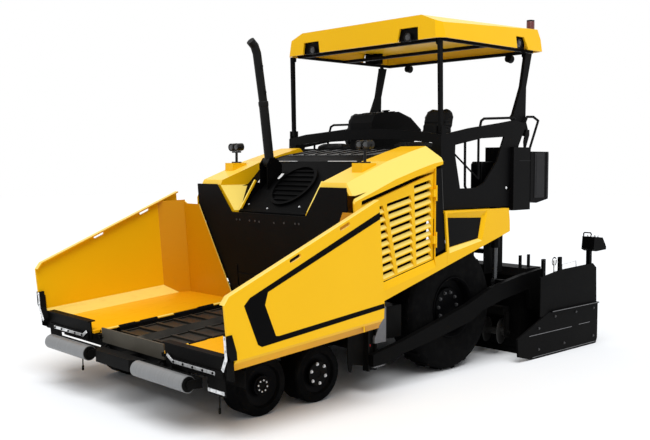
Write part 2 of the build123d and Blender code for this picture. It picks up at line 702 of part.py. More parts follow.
with BuildPart() as side_shell:
    shell_side = [
        (1020, sill_z(1020)), (1030, 1000), *shell_top,
        (-225, 2262), (-222, 2192), (door_rear_x - 14, 2168), (door_rear_x - 14, 1232), (seam_x, 1279),
        (seam_x, sill_z(seam_x)),
    ]
    prism(side(body_half), shell_side, body_half - hood_valley_half)
    # broad bevel along the shoulder
    rows = [(shell_top[0][0] + 20, shell_top[0][1] - 20), *shell_top[1:], (-240, 2402)]
    for (x0, z0), (x1, z1) in zip(rows, rows[1:]):
        ends = []
        for x, z in ((x0, z0), (x1, z1)):
            with BuildSketch(front(x)) as end:
                Polygon((body_half + 1, z - shoulder_drop), (body_half + 1, z + 60),
                        (body_half - shoulder_width, z + 60),
                        (body_half - shoulder_width, z), align=None)
            ends.append(end.sketch.face())
        loft(ends, ruled=True, mode=Mode.SUBTRACT)
    # inner face, from the valley's edge up to the crest
    prism(front(-260), [(hood_valley_half, valley_edge_z), (hood_half, crest_edge_z), (hood_half, 2600),
                        (hood_valley_half - 1, 2600), (hood_valley_half - 1,
                                                       valley_edge_z)], 1400, mode=Mode.SUBTRACT)
    # hollow of the engine bay
    hollow_y = body_half - body_plate
    prism(side(hollow_y), [(1200, 500), (1200, 1636), (seam_x - 10, 1636), (seam_x - 10, 500)],
          hollow_y - hood_valley_half + 20, mode=Mode.SUBTRACT)
    prism(side(hollow_y), [(1200, 1635), (1200, 1900), (1030, 1900), (900, 1930), (500, 2010),
                           (door_rear_x - door_gap, 2120),
                             (door_rear_x - door_gap, 1635)],
          hollow_y - hood_half + 10, mode=Mode.SUBTRACT)
    prism(side(body_half + 1), door_outline(door_gap), body_plate + 2, mode=Mode.SUBTRACT)
    # bevel on the sill under the door
    bevel_run = Vector(1, 0, -door_slope).normalized()
    bevel_plane = Plane(origin=(door_rear_x - 16, 0, door_low(door_rear_x - 16) - 60), x_dir=(0, 1, 0),
                        z_dir=tuple(bevel_run))
    prism(bevel_plane, [(body_half + 1, -30), (body_half + 1, 100), (hollow_y + 1, 100),
                        (hollow_y + 1, 56)], 1300,
          mode=Mode.SUBTRACT)
    # pads of the work lamps
    block((lamp_x - 90, lamp_x + 110), (955, 1095), (2110, lamp_pad_z))
    # hinge barrels of the door
    hinge_y = body_half + 16
    hinge_x = door_rear_x - 4
    for z in (1420, 1900):
        bar((hinge_x, hinge_y, z - 80), (hinge_x, hinge_y, z + 80), 5.7)
        for low, high in ((z - 80, z - 42), (z + 42, z + 80)):
            bar((hinge_x, hinge_y, low), (hinge_x, hinge_y, high), 9)
            block((hinge_x - 9, hinge_x), (body_half - body_plate, hinge_y), (low, high))
save_pair(side_shell, "side_shell")

# --- rear fenders over the driven wheels ----------------------------------------------------------
fender_gap = 3.0
pocket_deep = 34.0
with BuildPart() as rear_fender:
    fore = seam_x - fender_gap
    fender = [(fore, sill_z(fore)), (fore, 1313), (-262, 1709), (-1391, 1700), (-1412, 1560),
              (-1417, sill_z(-1417))]
    prism(side(body_half), fender, body_plate)
    prism(side(body_half), [(-262, 1709), (-1391, 1700), (-1391, 1676), (-268, 1684)], body_half - 870)
    prism(side(body_half), [(-1391, 1700), (-1412, 1560), (-1417, sill_z(-1417)), (-1400, sill_z(-1400)),
                            (-1390, 1560),
                            (-1371, 1690)], body_half - 870)
    pocket = [(-322, 1640), (-352, 1313), (-870, 1384), (-925, 1618)]
    rim = [(-296, 1684), (-340, 1262), (-900, 1362), (-996, 1690)]
    grown = [(-296, 1690), (-332, 1284), (-896, 1352), (-962, 1690)]
    prism(side(body_half - 1), grown, pocket_deep + 10)
    faces = []
    for y, outline in ((body_half + 1, rim), (body_half - pocket_deep, pocket)):
        with BuildSketch(side(y)) as face:
            Polygon(*outline, align=None)
        faces.append(face.sketch.face())
    loft(faces, ruled=True, mode=Mode.SUBTRACT)
    # pads under the stand's base
    for x in (-1380, -330):
        block((x, x + 40), (880, 1080), (1690, stand_base_z - seat_gap))
    # wheel arch lining behind the tyre's shoulder, inboard of the lifting cylinder
    prism(side(lift_y - 65), [(-1120, 1395), (-1120, 1410), (-1404, 1506), (-1404, 1491)],
          lift_y - 65 - 870)
    block((lift_x - 60, lift_x + 165), (lift_y - 65, lift_y + 57), (1600, 1712), mode=Mode.SUBTRACT)
save_pair(rear_fender, "rear_fender")

# --- louvred doors of the engine bay --------------------------------------------------------------
door_thick = 28.0
door_y = body_half - door_recess + 6
louvre_pitch = 82.0
louvre_slot = 36.0
louvre_blade = 34.0
bay_ends = [((-62, -66), (210, 158)), ((250, 206), (640, 432)),
            ((684, 476), (930, 905))]  # high and low end of each bay
with BuildPart() as grille_door:
    prism(side(door_y), door_outline(0, door_top_gap), door_thick)
    run = Vector(1, 0, -door_slope).normalized()
    for (rear_high, rear_low), (fore_high, fore_low) in bay_ends:
        rise = 54.0
        while door_high(fore_high) - door_top_gap - door_low(fore_high, rise) > louvre_slot + 14:
            share = rise / (door_high(fore_high) - door_low(fore_high))
            rear = rear_low + (rear_high - rear_low) * share
            fore = fore_low + (fore_high - fore_low) * share
            slot = [(rear, door_low(rear, rise)), (fore, door_low(fore, rise)),
                    (fore, door_low(fore, rise + louvre_slot)), (rear + 16,
                                                                 door_low(rear + 16, rise + louvre_slot))]
            prism(side(door_y + 1), slot, door_thick + 2, mode=Mode.SUBTRACT)
            # sloping blade under the slot
            across = Plane(origin=(rear, 0, door_low(rear, rise)), x_dir=(0, 1, 0), z_dir=tuple(run))
            blade = [(door_y + 1, 1), (door_y - door_thick + 4, 1), (door_y - door_thick + 4, 0),
                     (door_y + 1, louvre_blade * -1)]
            prism(across, blade, (fore - rear) / run.X, mode=Mode.SUBTRACT)
            rise += louvre_pitch
    for z in (1420, 1900):
        bar((hinge_x, hinge_y, z - 40), (hinge_x, hinge_y, z + 40), 9)
        block((hinge_x, hinge_x + 40), (door_y - 6, hinge_y), (z - 40, z + 40))
        bar((hinge_x, hinge_y, z - 41), (hinge_x, hinge_y, z + 41), 6, mode=Mode.SUBTRACT)
save_pair(grille_door, "grille_door")

# --- operator's stand: base box, side walls with their windows, front wall, rear cabinets ---------
with BuildPart() as operator_platform:
    block((stand_rear_x, stand_front_x), (-stand_half, stand_half), (stand_base_z, stand_floor_z))
    wall = [
        (stand_front_x, stand_floor_z), (stand_front_x, 2496), (-746, 2581), (-1288, 2651), (-1560, 2690),
        (-1805, 2660), (-1661, 2411), (-1560, 2200), (-1450, stand_floor_z),
    ]
    window = [(-500, 2396), (-952, 2473), (-1376, 2498), (-1240, 2220), (-1010, 1990), (-873, 1935),
              (-586, 1935),
              (-497, 2290)]
    for y in (1, -1):
        outer = stand_half if y > 0 else -stand_half + stand_wall
        prism(side(outer), wall, stand_wall)
        prism(side(outer + 1), window, stand_wall + 2, mode=Mode.SUBTRACT)
        # dark column between the door and the fender
        column = [(-120, 1262), (-120, 2140), (-216, 2160), (-248, 1700), (-292, 1316)]
        column_y = body_half - 16
        prism(side(max(y * stand_half, y * column_y)), column, column_y - stand_half)
        block((-262, -216), (y * (stand_half - 100), y * (stand_half + 4)), (stand_base_z, 2150))
        # hanging cabinets behind the stand
        cabinet = [(-1496, 1668), (-1830, 1668), (-1830, 2385), (-1496, 2385)]
        prism(side(max(y * (stand_half - 350), y * column_y)), cabinet, column_y - stand_half + 350)
        locker = [(-1830, 1760), (-1950, 1740), (-2195, 1782), (-2195, cabinet_top_z), (-1830, cabinet_top_z)]
        prism(side(max(y * (stand_half - 320), y * (column_y + 4))), locker, column_y - stand_half + 324)
        # brackets for the rear posts and the screed's lifting cylinders
        bracket = [(-1800, 2380), (-1828, 2380), (-1895, 2530), (-1895, 2590), (-1830, 2590), (-1790, 2450)]
        prism(side(max(y * (post_y + 8), y * (stand_half - 19))), bracket, stand_half - 27 - post_y)
        bar((rear_post_x, y * (stand_half - 24), rear_post_z), (rear_post_x, y * (post_y - 34), rear_post_z),
            post_pin_radius)
        for near, far in ((lift_y - 46, lift_y - 30), (lift_y + 30, lift_y + 35)):
            block((lift_x - 45, lift_x + 45), (y * near, y * far), (lift_top_z - 40, stand_base_z))
        bar((lift_x, y * (lift_y - 46), lift_top_z), (lift_x, y * (lift_y + 35), lift_top_z), 18)
        # foot of the front post
        for near, far in ((post_y - 40, post_y - 28), (post_y + 28, post_y + 43)):
            block((front_post_x - 32, front_post_x + 32), (y * near, y * far), (2440, front_post_z + 34))
        block((front_post_x - 32, stand_front_x + 1), (y * (post_y - 40), y * (post_y + 43)), (2380, 2440))
        bar((front_post_x, y * (post_y - 40), front_post_z), (front_post_x, y * (post_y + 43),
                                                              front_post_z), post_pin_radius)
    # front wall, with the view slot under its top band
    arch = [(-stand_half, stand_floor_z), (stand_half, stand_floor_z), (stand_half, 2500), (900, 2545),
            (300, 2585),
            (-300, 2585), (-900, 2545), (-stand_half, 2500)]
    prism(front(stand_front_x - 20), arch, 20)
    prism(front(stand_front_x - 21), [(-1080, 2375), (1080, 2375), (1080, 2420), (500, 2470), (-500, 2470),
                                      (-1080, 2420)], 22,
          mode=Mode.SUBTRACT)
save(operator_platform, "operator_platform")

# --- console, seats and handrails -----------------------------------------------------------------
with BuildPart() as console:
    desk = [(-300, 2250), (-300, 2660), (-350, 2752), (-751, 2798), (-962, 2735), (-1150, 2600),
            (-1130, 2520), (-760, 2300),
            (-700, 2240)]
    prism(side(170), desk, 340)
    block((-690, -440), (-110, 110), (stand_floor_z + seat_gap, 2250))
save(console, "console")

seat_y = 620.0
with BuildPart() as seat_frames:
    for y in (1, -1):
        block((-780, -480), (y * seat_y - 150, y * seat_y + 150),
              (stand_floor_z + seat_gap, stand_floor_z + 30))
        block((-720, -540), (y * seat_y - 90, y * seat_y + 90), (stand_floor_z + 30, 2280))
        block((-830, -400), (y * seat_y - 200, y * seat_y + 200), (2280, 2330))
        prism(side(y * seat_y + 60), [(-830, 2290), (-900, 2290), (-985, 2700), (-960, 2705), (-872, 2335),
                                      (-830, 2330)], 120)
save(seat_frames, "seat_frames")
with BuildPart() as seat_pads:
    for y in (1, -1):
        prism(side(y * seat_y + 235), [(-800, 2330 + seat_gap), (-370, 2330 + seat_gap), (-345, 2370),
                                       (-365, 2440), (-800, 2425)], 470)
        prism(side(y * seat_y + 225), [(-806, 2440), (-850, 2440), (-867, 2350), (-891.9, 2420),
                                       (-958.5, 2700), (-965, 2800), (-900, 2835),
                                       (-870, 2800)], 450)
save(seat_pads, "seat_pads")

rail_y = stand_half - 12
rail_radius = 14.0
rail_paths = [
    [(-935, 2592), (-960, 2665), (-1010, 2690), (-1560, 2718), (-1590, 2688)],
    [(-1768, 2636), (-1830, 2738), (-1960, 2742), (-2060, 2700), (-1870, 2326)],
]
with BuildPart() as handrails:
    for y in (1, -1):
        for path in rail_paths:
            for (x0, z0), (x1, z1) in zip(path, path[1:]):
                bar((x0, y * rail_y, z0), (x1, y * rail_y, z1), rail_radius)
            for x, z in path[1:-1]:
                with Locations((x, y * rail_y, z)):
                    Sphere(rail_radius)
        outer = stand_half + 4 if y > 0 else -stand_half + stand_wall + 2
        prism(side(outer), [(x, z + seat_gap) for x, z in wall], stand_wall + 6, mode=Mode.SUBTRACT)
        block((-2195, -1830), (y * (rail_y - 28), y * (rail_y + 32)), (2200, cabinet_top_z + seat_gap),
              mode=Mode.SUBTRACT)
save(handrails, "handrails")

# --- roof, its frame with the lamps, and the four posts -------------------------------------------
top_pivots = [(front_post_x + roof_post_lean, front_post_z + roof_post_length),
              (rear_post_x + roof_post_lean, rear_post_z + roof_post_length)]
roof_middle = Vector(-1150, 0, roof_bottom_z + 60)


def slice_off(a, b, c):
    """Cuts the piece along a plane through three points and keeps the side of the roof's middle."""
    cut = Plane(origin=a, z_dir=(Vector(*b) - Vector(*a)).cross(Vector(*c) - Vector(*a)))
    inward = cut.z_dir.dot(roof_middle - Vector(*a)) > 0
    split(bisect_by=cut, keep=Keep.TOP if inward else Keep.BOTTOM)


with BuildPart() as roof_shell:
    eave = roof_bottom_z
    crown = roof_bottom_z + roof_height
    block((roof_rear_x, roof_front_x), (-roof_half, roof_half), (eave, crown))
    slice_off((roof_front_x, 0, eave), (roof_front_x, 100, eave), (roof_front_x - 18, 0, crown))
    slice_off((roof_rear_x, 0, eave), (roof_rear_x, 100, eave), (roof_rear_x + 60, 0, crown))
    for y in (1, -1):
        flank = y * roof_half
        slice_off((-600, flank, eave), (-900, flank, eave), (-600, flank - y * 60, crown))
        ear = (roof_front_x - 66, flank - y * 30, eave + 158)
        slice_off((roof_front_x, y * (roof_half - 85), eave), (roof_front_x - 66, flank, eave), ear)
        slice_off((roof_rear_x, y * (roof_half - 75), eave), (roof_rear_x + 50, flank, eave),
                  (roof_rear_x + 60, flank, crown))
        # slope between the crown and the ears
        slice_off(ear, (roof_front_x - 18, y * roof_peak_y, crown),
                  (roof_rear_x + 90, y * (roof_half - 62), crown))
    rings = []
    for height, grow in ((-1, 20), (lamp_box_top, 56)):
        with BuildSketch(level(eave + height)) as ring:
            half = roof_half - grow
            fore = roof_front_x - min(grow, 34)
            aft = roof_rear_x + grow
            Polygon((fore, half - 90), (fore - 76, half), (aft + 50, half), (aft, half - 75),
                    (aft, 75 - half), (aft + 50, -half), (fore - 76, -half), (fore, 90 - half), align=None)
        rings.append(ring.sketch.face())
    loft(rings, ruled=True, mode=Mode.SUBTRACT)
    # notches for the lamps, in the front and in the flanks
    notch_top = eave + lamp_box_top - 6
    for y in (1, -1):
        prism(front(roof_front_x - 60), [(y * 610, eave - 2), (y * 640, notch_top), (y * 896, notch_top),
                                         (y * 908, eave - 2)], 100,
              mode=Mode.SUBTRACT)
        prism(side(y * (roof_half - 20) + 60), [(-1560, eave - 2), (-1578, notch_top), (-1735, notch_top),
                                                (-1784, eave - 2)], 120,
              mode=Mode.SUBTRACT)
save(roof_shell, "roof_shell")

post_side = post_width / 2
beacon_x = roof_rear_x - 46
beacon_y = 1000.0
beacon_z = roof_bottom_z + 246
with BuildPart() as roof_frame:
    tube = 18.0
    low_z = roof_bottom_z - 18
    high_z = roof_bottom_z + 18
    for y in (1, -1):
        block((roof_rear_x + 90, roof_front_x - 115), (y * 1108, y * 1132), (low_z, high_z))
        for (x, z), lug_y, pin_y in ((top_pivots[0], 1125, 1180), (top_pivots[1], 1116, 1166)):
            prism(side(max(y * lug_y, y * (lug_y + 6))),
                  [(x - 34, low_z + 4), (x - 30, z - 20), (x, z - 34), (x + 30, z - 20),
                   (x + 34, low_z + 4)], 6)
            bar((x, y * (lug_y + 1), z), (x, y * pin_y, z), post_pin_radius)
    for x in (roof_front_x - 150, -1150, roof_rear_x + 120):
        block((x - 20, x + 20), (-1110, 1110), (low_z, high_z))
    # lugs that hold the shell, under its skin
    for x in (-500, -1700):
        for y in (1, -1):
            block((x - 30, x + 30), (y * 1000, y * 1128), (high_z - 10,
                                                           roof_bottom_z + lamp_box_top - seat_gap))
    # lamp boxes behind the notches, and the front lamps in them
    box_z = (high_z - 10, roof_bottom_z + lamp_box_top - 4)
    for y in (1, -1):
        block((roof_front_x - 100, roof_front_x - 44), (y * 600, y * 920), box_z)
        block((roof_front_x - 152, roof_front_x - 90), (y * 720, y * 800), (high_z - 10, high_z + 20))
        bar((roof_front_x - 60, y * 750, high_z + 26), (roof_front_x - 14, y * 750, high_z + 20), 46)
        block((-1790, -1566), (y * 1131, y * 1162), box_z)
        bar((-1650, y * 1160, high_z + 44), (-1650, y * 1184, high_z + 40), 50)
        # rear lamps under the eave
        x = roof_rear_x + 90
        bar((x + 30, y * 800, low_z - 30), (x - 30, y * 800, low_z - 36), 46)
        block((x - 14, x + 50), (y * 786, y * 814), (low_z - 8, low_z + 14))
    # warning beacon on a stalk behind the shell
    bar((beacon_x, beacon_y, low_z), (beacon_x, beacon_y, beacon_z), 14)
    block((beacon_x, roof_rear_x + 120), (beacon_y - 14, beacon_y + 14), (low_z, low_z + 16))
    bar((beacon_x, beacon_y, beacon_z), (beacon_x, beacon_y, beacon_z + 30), 52)
    bar((beacon_x, beacon_y, beacon_z + 30), (beacon_x, beacon_y, beacon_z + 150), 46)
save(roof_frame, "roof_frame")

with BuildPart() as front_posts:
    for y in (1, -1):
        x, z = top_pivots[0]
        prism(side(y * post_y + post_side), [
            (front_post_x - 22, front_post_z - 26), (front_post_x + 22, front_post_z - 26), (x + 26,
                                                                                             z + 30),
                                                                                             (x - 24,
                                                                                              z + 30)],
            post_width)
        for px, pz, hole in ((front_post_x, front_post_z, post_pin_radius + pin_gap),
                             (x, z, post_pin_radius + 1)):
            bar((px, y * (post_y - 60), pz), (px, y * (post_y + 60), pz), hole, mode=Mode.SUBTRACT)
save(front_posts, "front_posts")
with BuildPart() as rear_posts:
    for y in (1, -1):
        x, z = top_pivots[1]
        prism(side(y * (post_y - 12) + 20), [
            (x - 105, z + 18), (x + 18, z + 18), (x + 24, z - 30), (-1745, 3081), (-1600, 2760), (-1553, 2715),
            (-1590, 2700), (-1800, 2560), (rear_post_x + 20, rear_post_z - 34),
            (rear_post_x - 30, rear_post_z - 30), (rear_post_x - 34, rear_post_z + 30), (-1835, 2720), (-1840, 3081)], 40)
        for px, pz in ((rear_post_x, rear_post_z), (x, z)):
            bar((px, y * (post_y - 60), pz), (px, y * (post_y + 60), pz), post_pin_radius + pin_gap,
                mode=Mode.SUBTRACT)
save(rear_posts, "rear_posts")

# --- work lamps on the shells' front corners ------------------------------------------------------
with BuildPart() as work_lamps:
    for y in (1, -1):
        block((lamp_x - 40, lamp_x + 40), (y * 985, y * 1065), (lamp_pad_z + seat_gap, lamp_pad_z + 14))
        bar((lamp_x, y * 1025, lamp_pad_z + 10), (lamp_x, y * 1025, 2330), 15)
        block((lamp_x - 16, lamp_x + 16), (y * 960, y * 1090), (2322, 2338))
        for middle in (979, 1071):
            bar((lamp_x, y * middle, 2336), (lamp_x, y * middle, 2352), 10)
            bar((lamp_x - 44, y * middle, 2390), (lamp_x + 40, y * middle, 2384), 43)
save(work_lamps, "work_lamps")

# --- tow arms -------------------------------------------------------------------------------------
with BuildPart() as tow_arms:
    arm = [
        (tow_x + 60, tow_z - 50), (tow_x + 60, tow_z + 60), (486, 452), (52, 552), (-549, 700), (-994, 844),
        (-1570, 935), (-1960, 975), (-1960, 600), (-1750, 520), (-1700, 760), (-1189, 690), (-825, 610),
        (-652, 525), (10, 400), (468, 330), (600, tow_z - 50),
    ]
    for y in (1, -1):
        prism(side(max(y * arm_inner_y, y * (arm_inner_y + arm_thick))), arm, arm_thick)
        # lug of the lifting cylinder, and the cross plate that bolts to the screed
        block((lift_x - 40, lift_x + 40), (y * (lift_y + 32), y * arm_inner_y),
              (lift_eye_z - 45, lift_eye_z + 30))
        bar((tow_x, y * (arm_inner_y - 72), tow_z), (tow_x, y * arm_inner_y, tow_z), 38)
        prism(side(max(y * (screed_half + seat_gap), y * arm_inner_y)),
              [(-1700, 880), (-1960, 930), (-1960, 620), (-1760, 540)],
              arm_inner_y - screed_half - seat_gap)
save(tow_arms, "tow_arms")

# --- screed: body, cover and walkway --------------------------------------------------------------
with BuildPart() as screed_body:
    for y in (1, -1):
        block((screed_front_x, screed_rear_x), (y * 4, y * screed_half), (0, 60))
    prism(side(screed_half), [(screed_front_x - 10, 60), (screed_front_x, 90), (screed_front_x, 500),
                              (screed_front_x - 40, 900),
                              (screed_front_x - 110, screed_top_z), (screed_rear_x,
                                                                     screed_top_z), (screed_rear_x, 60)],
          2 * screed_half)
    # drawbar for the walkway, over the extensions
    for y in (300, 900, -300, -900):
        block((-2800, screed_rear_x + 1), (y - 30, y + 30), (extension_top_z + 30, extension_top_z + 80))
    # guide tube of the extensions on its bracket
    block((guide_x - guide_radius, screed_rear_x + 1), (-45, 45),
          (guide_z - guide_radius - 20, guide_z + guide_radius + 20))
    bar((guide_x, -guide_end_y, guide_z), (guide_x, guide_end_y, guide_z), guide_radius)
    # lashing posts on top
    for x in (-1790, -1960):
        for y in (screed_half - 112, 650, -650, 112 - screed_half):
            block((x - 22, x + 22), (y - 8, y + 8), (screed_top_z - 1, 1128))
save(screed_body, "screed_body")
with BuildPart() as screed_walkway:
    walk_z = extension_top_z + 80 + seat_gap
    block((-2810, -2440), (22 - screed_half, screed_half - 22), (walk_z, walk_z + 26))
    block((-2812, -2800), (22 - screed_half, screed_half - 22), (walk_z - 60, walk_z + 26))
    block((-2450, -2438), (22 - screed_half, screed_half - 22), (walk_z, walk_z + 120))
save(screed_walkway, "screed_walkway")

# --- extensions with their end plates and control panels ------------------------------------------
with BuildPart() as extension:
    end_y = end_plate_outer_y - end_plate_thick - seat_gap
    block((extension_rear_x, extension_front_x), (extension_out + gap, end_y), (0, 56))
    prism(side(end_y), [(extension_front_x, 56), (extension_front_x, extension_top_z),
                        (extension_rear_x + 60, extension_top_z),
                        (extension_rear_x, 380), (extension_rear_x, 56)], end_y - extension_out - gap)
    block((extension_rear_x - 380, extension_rear_x + 1), (extension_out + gap, end_y), (330, 356))
    bar((guide_x, extension_out, guide_z), (guide_x, end_y + 1, guide_z), guide_radius + pin_gap,
        mode=Mode.SUBTRACT)
    block((extension_rear_x - 382, extension_rear_x - 370), (extension_out + gap, end_y), (290, 356))
save_pair(extension, "screed_extension")
with BuildPart() as end_plate:
    plate = [(-1205, 268), (-1230, 65), (-1480, 0), (-2862, 0), (-2900, 60), (-2900, 500), (-1851, 510),
             (-1560, 400)]
    guard = [(-1650, 460), (-1650, 915), (-2060, 968), (-2780, 990), (-2860, 930), (-2880, 480)]
    prism(side(end_plate_outer_y), plate, end_plate_thick)
    prism(side(end_plate_outer_y - 6), guard, 14)
    block((-2890, -1850), (end_plate_outer_y - 30, end_plate_outer_y + 26), (496, 510))
    for x in (-1720, -2060):
        block((x - 26, x + 26), (end_plate_outer_y - 34, end_plate_outer_y - 6), (860, 1118))
    # post and control panel
    block((panel_rear_x + 185, panel_rear_x + 235), (1450, 1500), (356 + seat_gap, 1180))
    block((panel_rear_x + 185, panel_rear_x + 235), (1440, end_plate_outer_y - 20), (900, 930))
    prism(side(end_plate_outer_y + 55), [
        (panel_rear_x, 1150), (panel_rear_x, 1185), (panel_rear_x + 85, 1300), (panel_rear_x + 275, 1318),
        (panel_rear_x + 295, 1165), (panel_rear_x + 235, 1140)], 165)
save_pair(end_plate, "end_plate")

# --- lifting cylinders of the screed --------------------------------------------------------------
lift_stroke = 330.0
barrel_length = 395.0
with BuildPart() as lift_barrels:
    for y in (1, -1):
        bar((lift_x, y * lift_y, lift_top_z - 10), (lift_x, y * lift_y, lift_top_z - 66), 26)
        bar((lift_x, y * lift_y, lift_top_z - 62), (lift_x, y * lift_y, lift_top_z - barrel_length),
            barrel_radius)
        bar((lift_x, y * (lift_y - 29), lift_top_z), (lift_x, y * (lift_y + 29), lift_top_z), 40)
        bar((lift_x, y * (lift_y - 30), lift_top_z), (lift_x, y * (lift_y + 30), lift_top_z), 18 + pin_gap,
            mode=Mode.SUBTRACT)
        bar((lift_x, y * lift_y, lift_top_z - 72), (lift_x, y * lift_y, lift_top_z - barrel_length - 1),
            rod_radius + pin_gap,
            mode=Mode.SUBTRACT)
save(lift_barrels, "lift_barrels")
with BuildPart() as lift_rods:
    for y in (1, -1):
        bar((lift_x, y * lift_y, lift_top_z - barrel_length + 8), (lift_x, y * lift_y, lift_eye_z),
            rod_radius)
        bar((lift_x, y * (lift_y - 26), lift_eye_z), (lift_x, y * (lift_y + 26), lift_eye_z), 38)
save(lift_rods, "lift_rods")

# --- auger beam and augers ------------------------------------------------------------------------
with BuildPart() as auger_beam:
    block((-1530, -1420), (-auger_outer_y - 10, auger_outer_y + 10), (470, 560))
    block((auger_x - 60, auger_x + 60), (-auger_inner_y + gap, auger_inner_y - gap), (150, 470))
    for y in (1, -1):
        block((-1420, chassis_rear_x - seat_gap), (y * 300, y * 560), (480, 550))
        block((auger_x - 30, auger_x + 30), (y * (auger_outer_y + gap), y * (auger_outer_y + gap + 30)),
              (auger_z - 60, 500))
    bar((auger_x, -auger_outer_y - 60, auger_z), (auger_x, auger_outer_y + 60, auger_z), 22)
save(auger_beam, "auger_beam")
with BuildPart() as auger:
    bar((auger_x, auger_inner_y, auger_z), (auger_x, auger_outer_y, auger_z), auger_shaft_radius)
    flights = 6
    flight_pitch = (auger_outer_y - auger_inner_y - 110) / (flights - 1)
    for turn in range(flights):
        middle = auger_inner_y + 55 + turn * flight_pitch
        lean = Plane(origin=(auger_x, middle - 7, auger_z), x_dir=(1, 0.28, 0), z_dir=(-0.28, 1, 0))
        with BuildSketch(lean) as disc:
            Circle(auger_radius)
        extrude(disc.sketch, amount=14, dir=lean.z_dir)
    bar((auger_x, auger_inner_y - 10, auger_z), (auger_x, auger_outer_y + 10, auger_z), 22 + pin_gap,
        mode=Mode.SUBTRACT)
save_pair(auger, "auger")

# --- lashing eyes on the front cross beam ---------------------------------------------------------
eye_bore = 18.0
eye_y = 470.0
with BuildPart() as lashing_eyes:
    for y in (1, -1):
        block((frame_front_x + seat_gap, frame_front_x + 40), (y * eye_y - 15, y * eye_y + 15), (402, 468))
        bar((frame_front_x + 40, y * eye_y - 15, 435), (frame_front_x + 40, y * eye_y + 15, 435), 33)
        bar((frame_front_x + 40, y * eye_y - 16, 435), (frame_front_x + 40, y * eye_y + 16, 435), eye_bore,
            mode=Mode.SUBTRACT)
save(lashing_eyes, "lashing_eyes")
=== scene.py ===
"""Wheeled asphalt paver: its looks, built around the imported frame."""

import math

import bmesh
import bpy
from mathutils import Matrix, Vector


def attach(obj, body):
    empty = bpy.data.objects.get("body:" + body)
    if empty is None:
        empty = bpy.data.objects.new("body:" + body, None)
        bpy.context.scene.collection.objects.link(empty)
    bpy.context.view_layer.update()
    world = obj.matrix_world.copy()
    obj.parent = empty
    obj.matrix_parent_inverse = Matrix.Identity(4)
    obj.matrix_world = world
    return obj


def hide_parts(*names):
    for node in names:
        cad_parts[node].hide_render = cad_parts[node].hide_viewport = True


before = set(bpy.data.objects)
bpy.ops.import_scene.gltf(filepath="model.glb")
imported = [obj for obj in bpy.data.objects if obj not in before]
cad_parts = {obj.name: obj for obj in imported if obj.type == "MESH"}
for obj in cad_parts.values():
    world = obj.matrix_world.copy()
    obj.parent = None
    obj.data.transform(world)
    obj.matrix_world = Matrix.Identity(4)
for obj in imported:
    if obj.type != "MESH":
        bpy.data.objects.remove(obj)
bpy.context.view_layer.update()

# ------------------------------
# Camera, floor and studio light.
# The machine stands on a plain pale floor under one wide soft light from overhead and a pale sky.
bpy.ops.object.select_all(action="DESELECT")
bpy.ops.object.camera_add(location=(6.926, 7.077, 2.218), rotation=(math.radians(86.24), 0, math.radians(136.72)))
camera = bpy.context.object
camera.data.lens = 48.99
camera.data.sensor_width = 36.0
scene = bpy.context.scene
scene.camera = camera
scene.view_settings.view_transform = "Standard"

bpy.ops.mesh.primitive_plane_add(size=90, location=(0, 0, 0))
floor = bpy.context.object
floor.name = "studio_floor"

toward_light = Vector((0.22, 0.30, 0.93))
bpy.ops.object.light_add(type="SUN", location=(2, 3, 9))
overhead = bpy.context.object
overhead.name = "overhead_light"
overhead.data.energy = 2.85
overhead.data.angle = math.radians(50)
overhead.rotation_euler = (-toward_light).to_track_quat("-Z", "Y").to_euler()


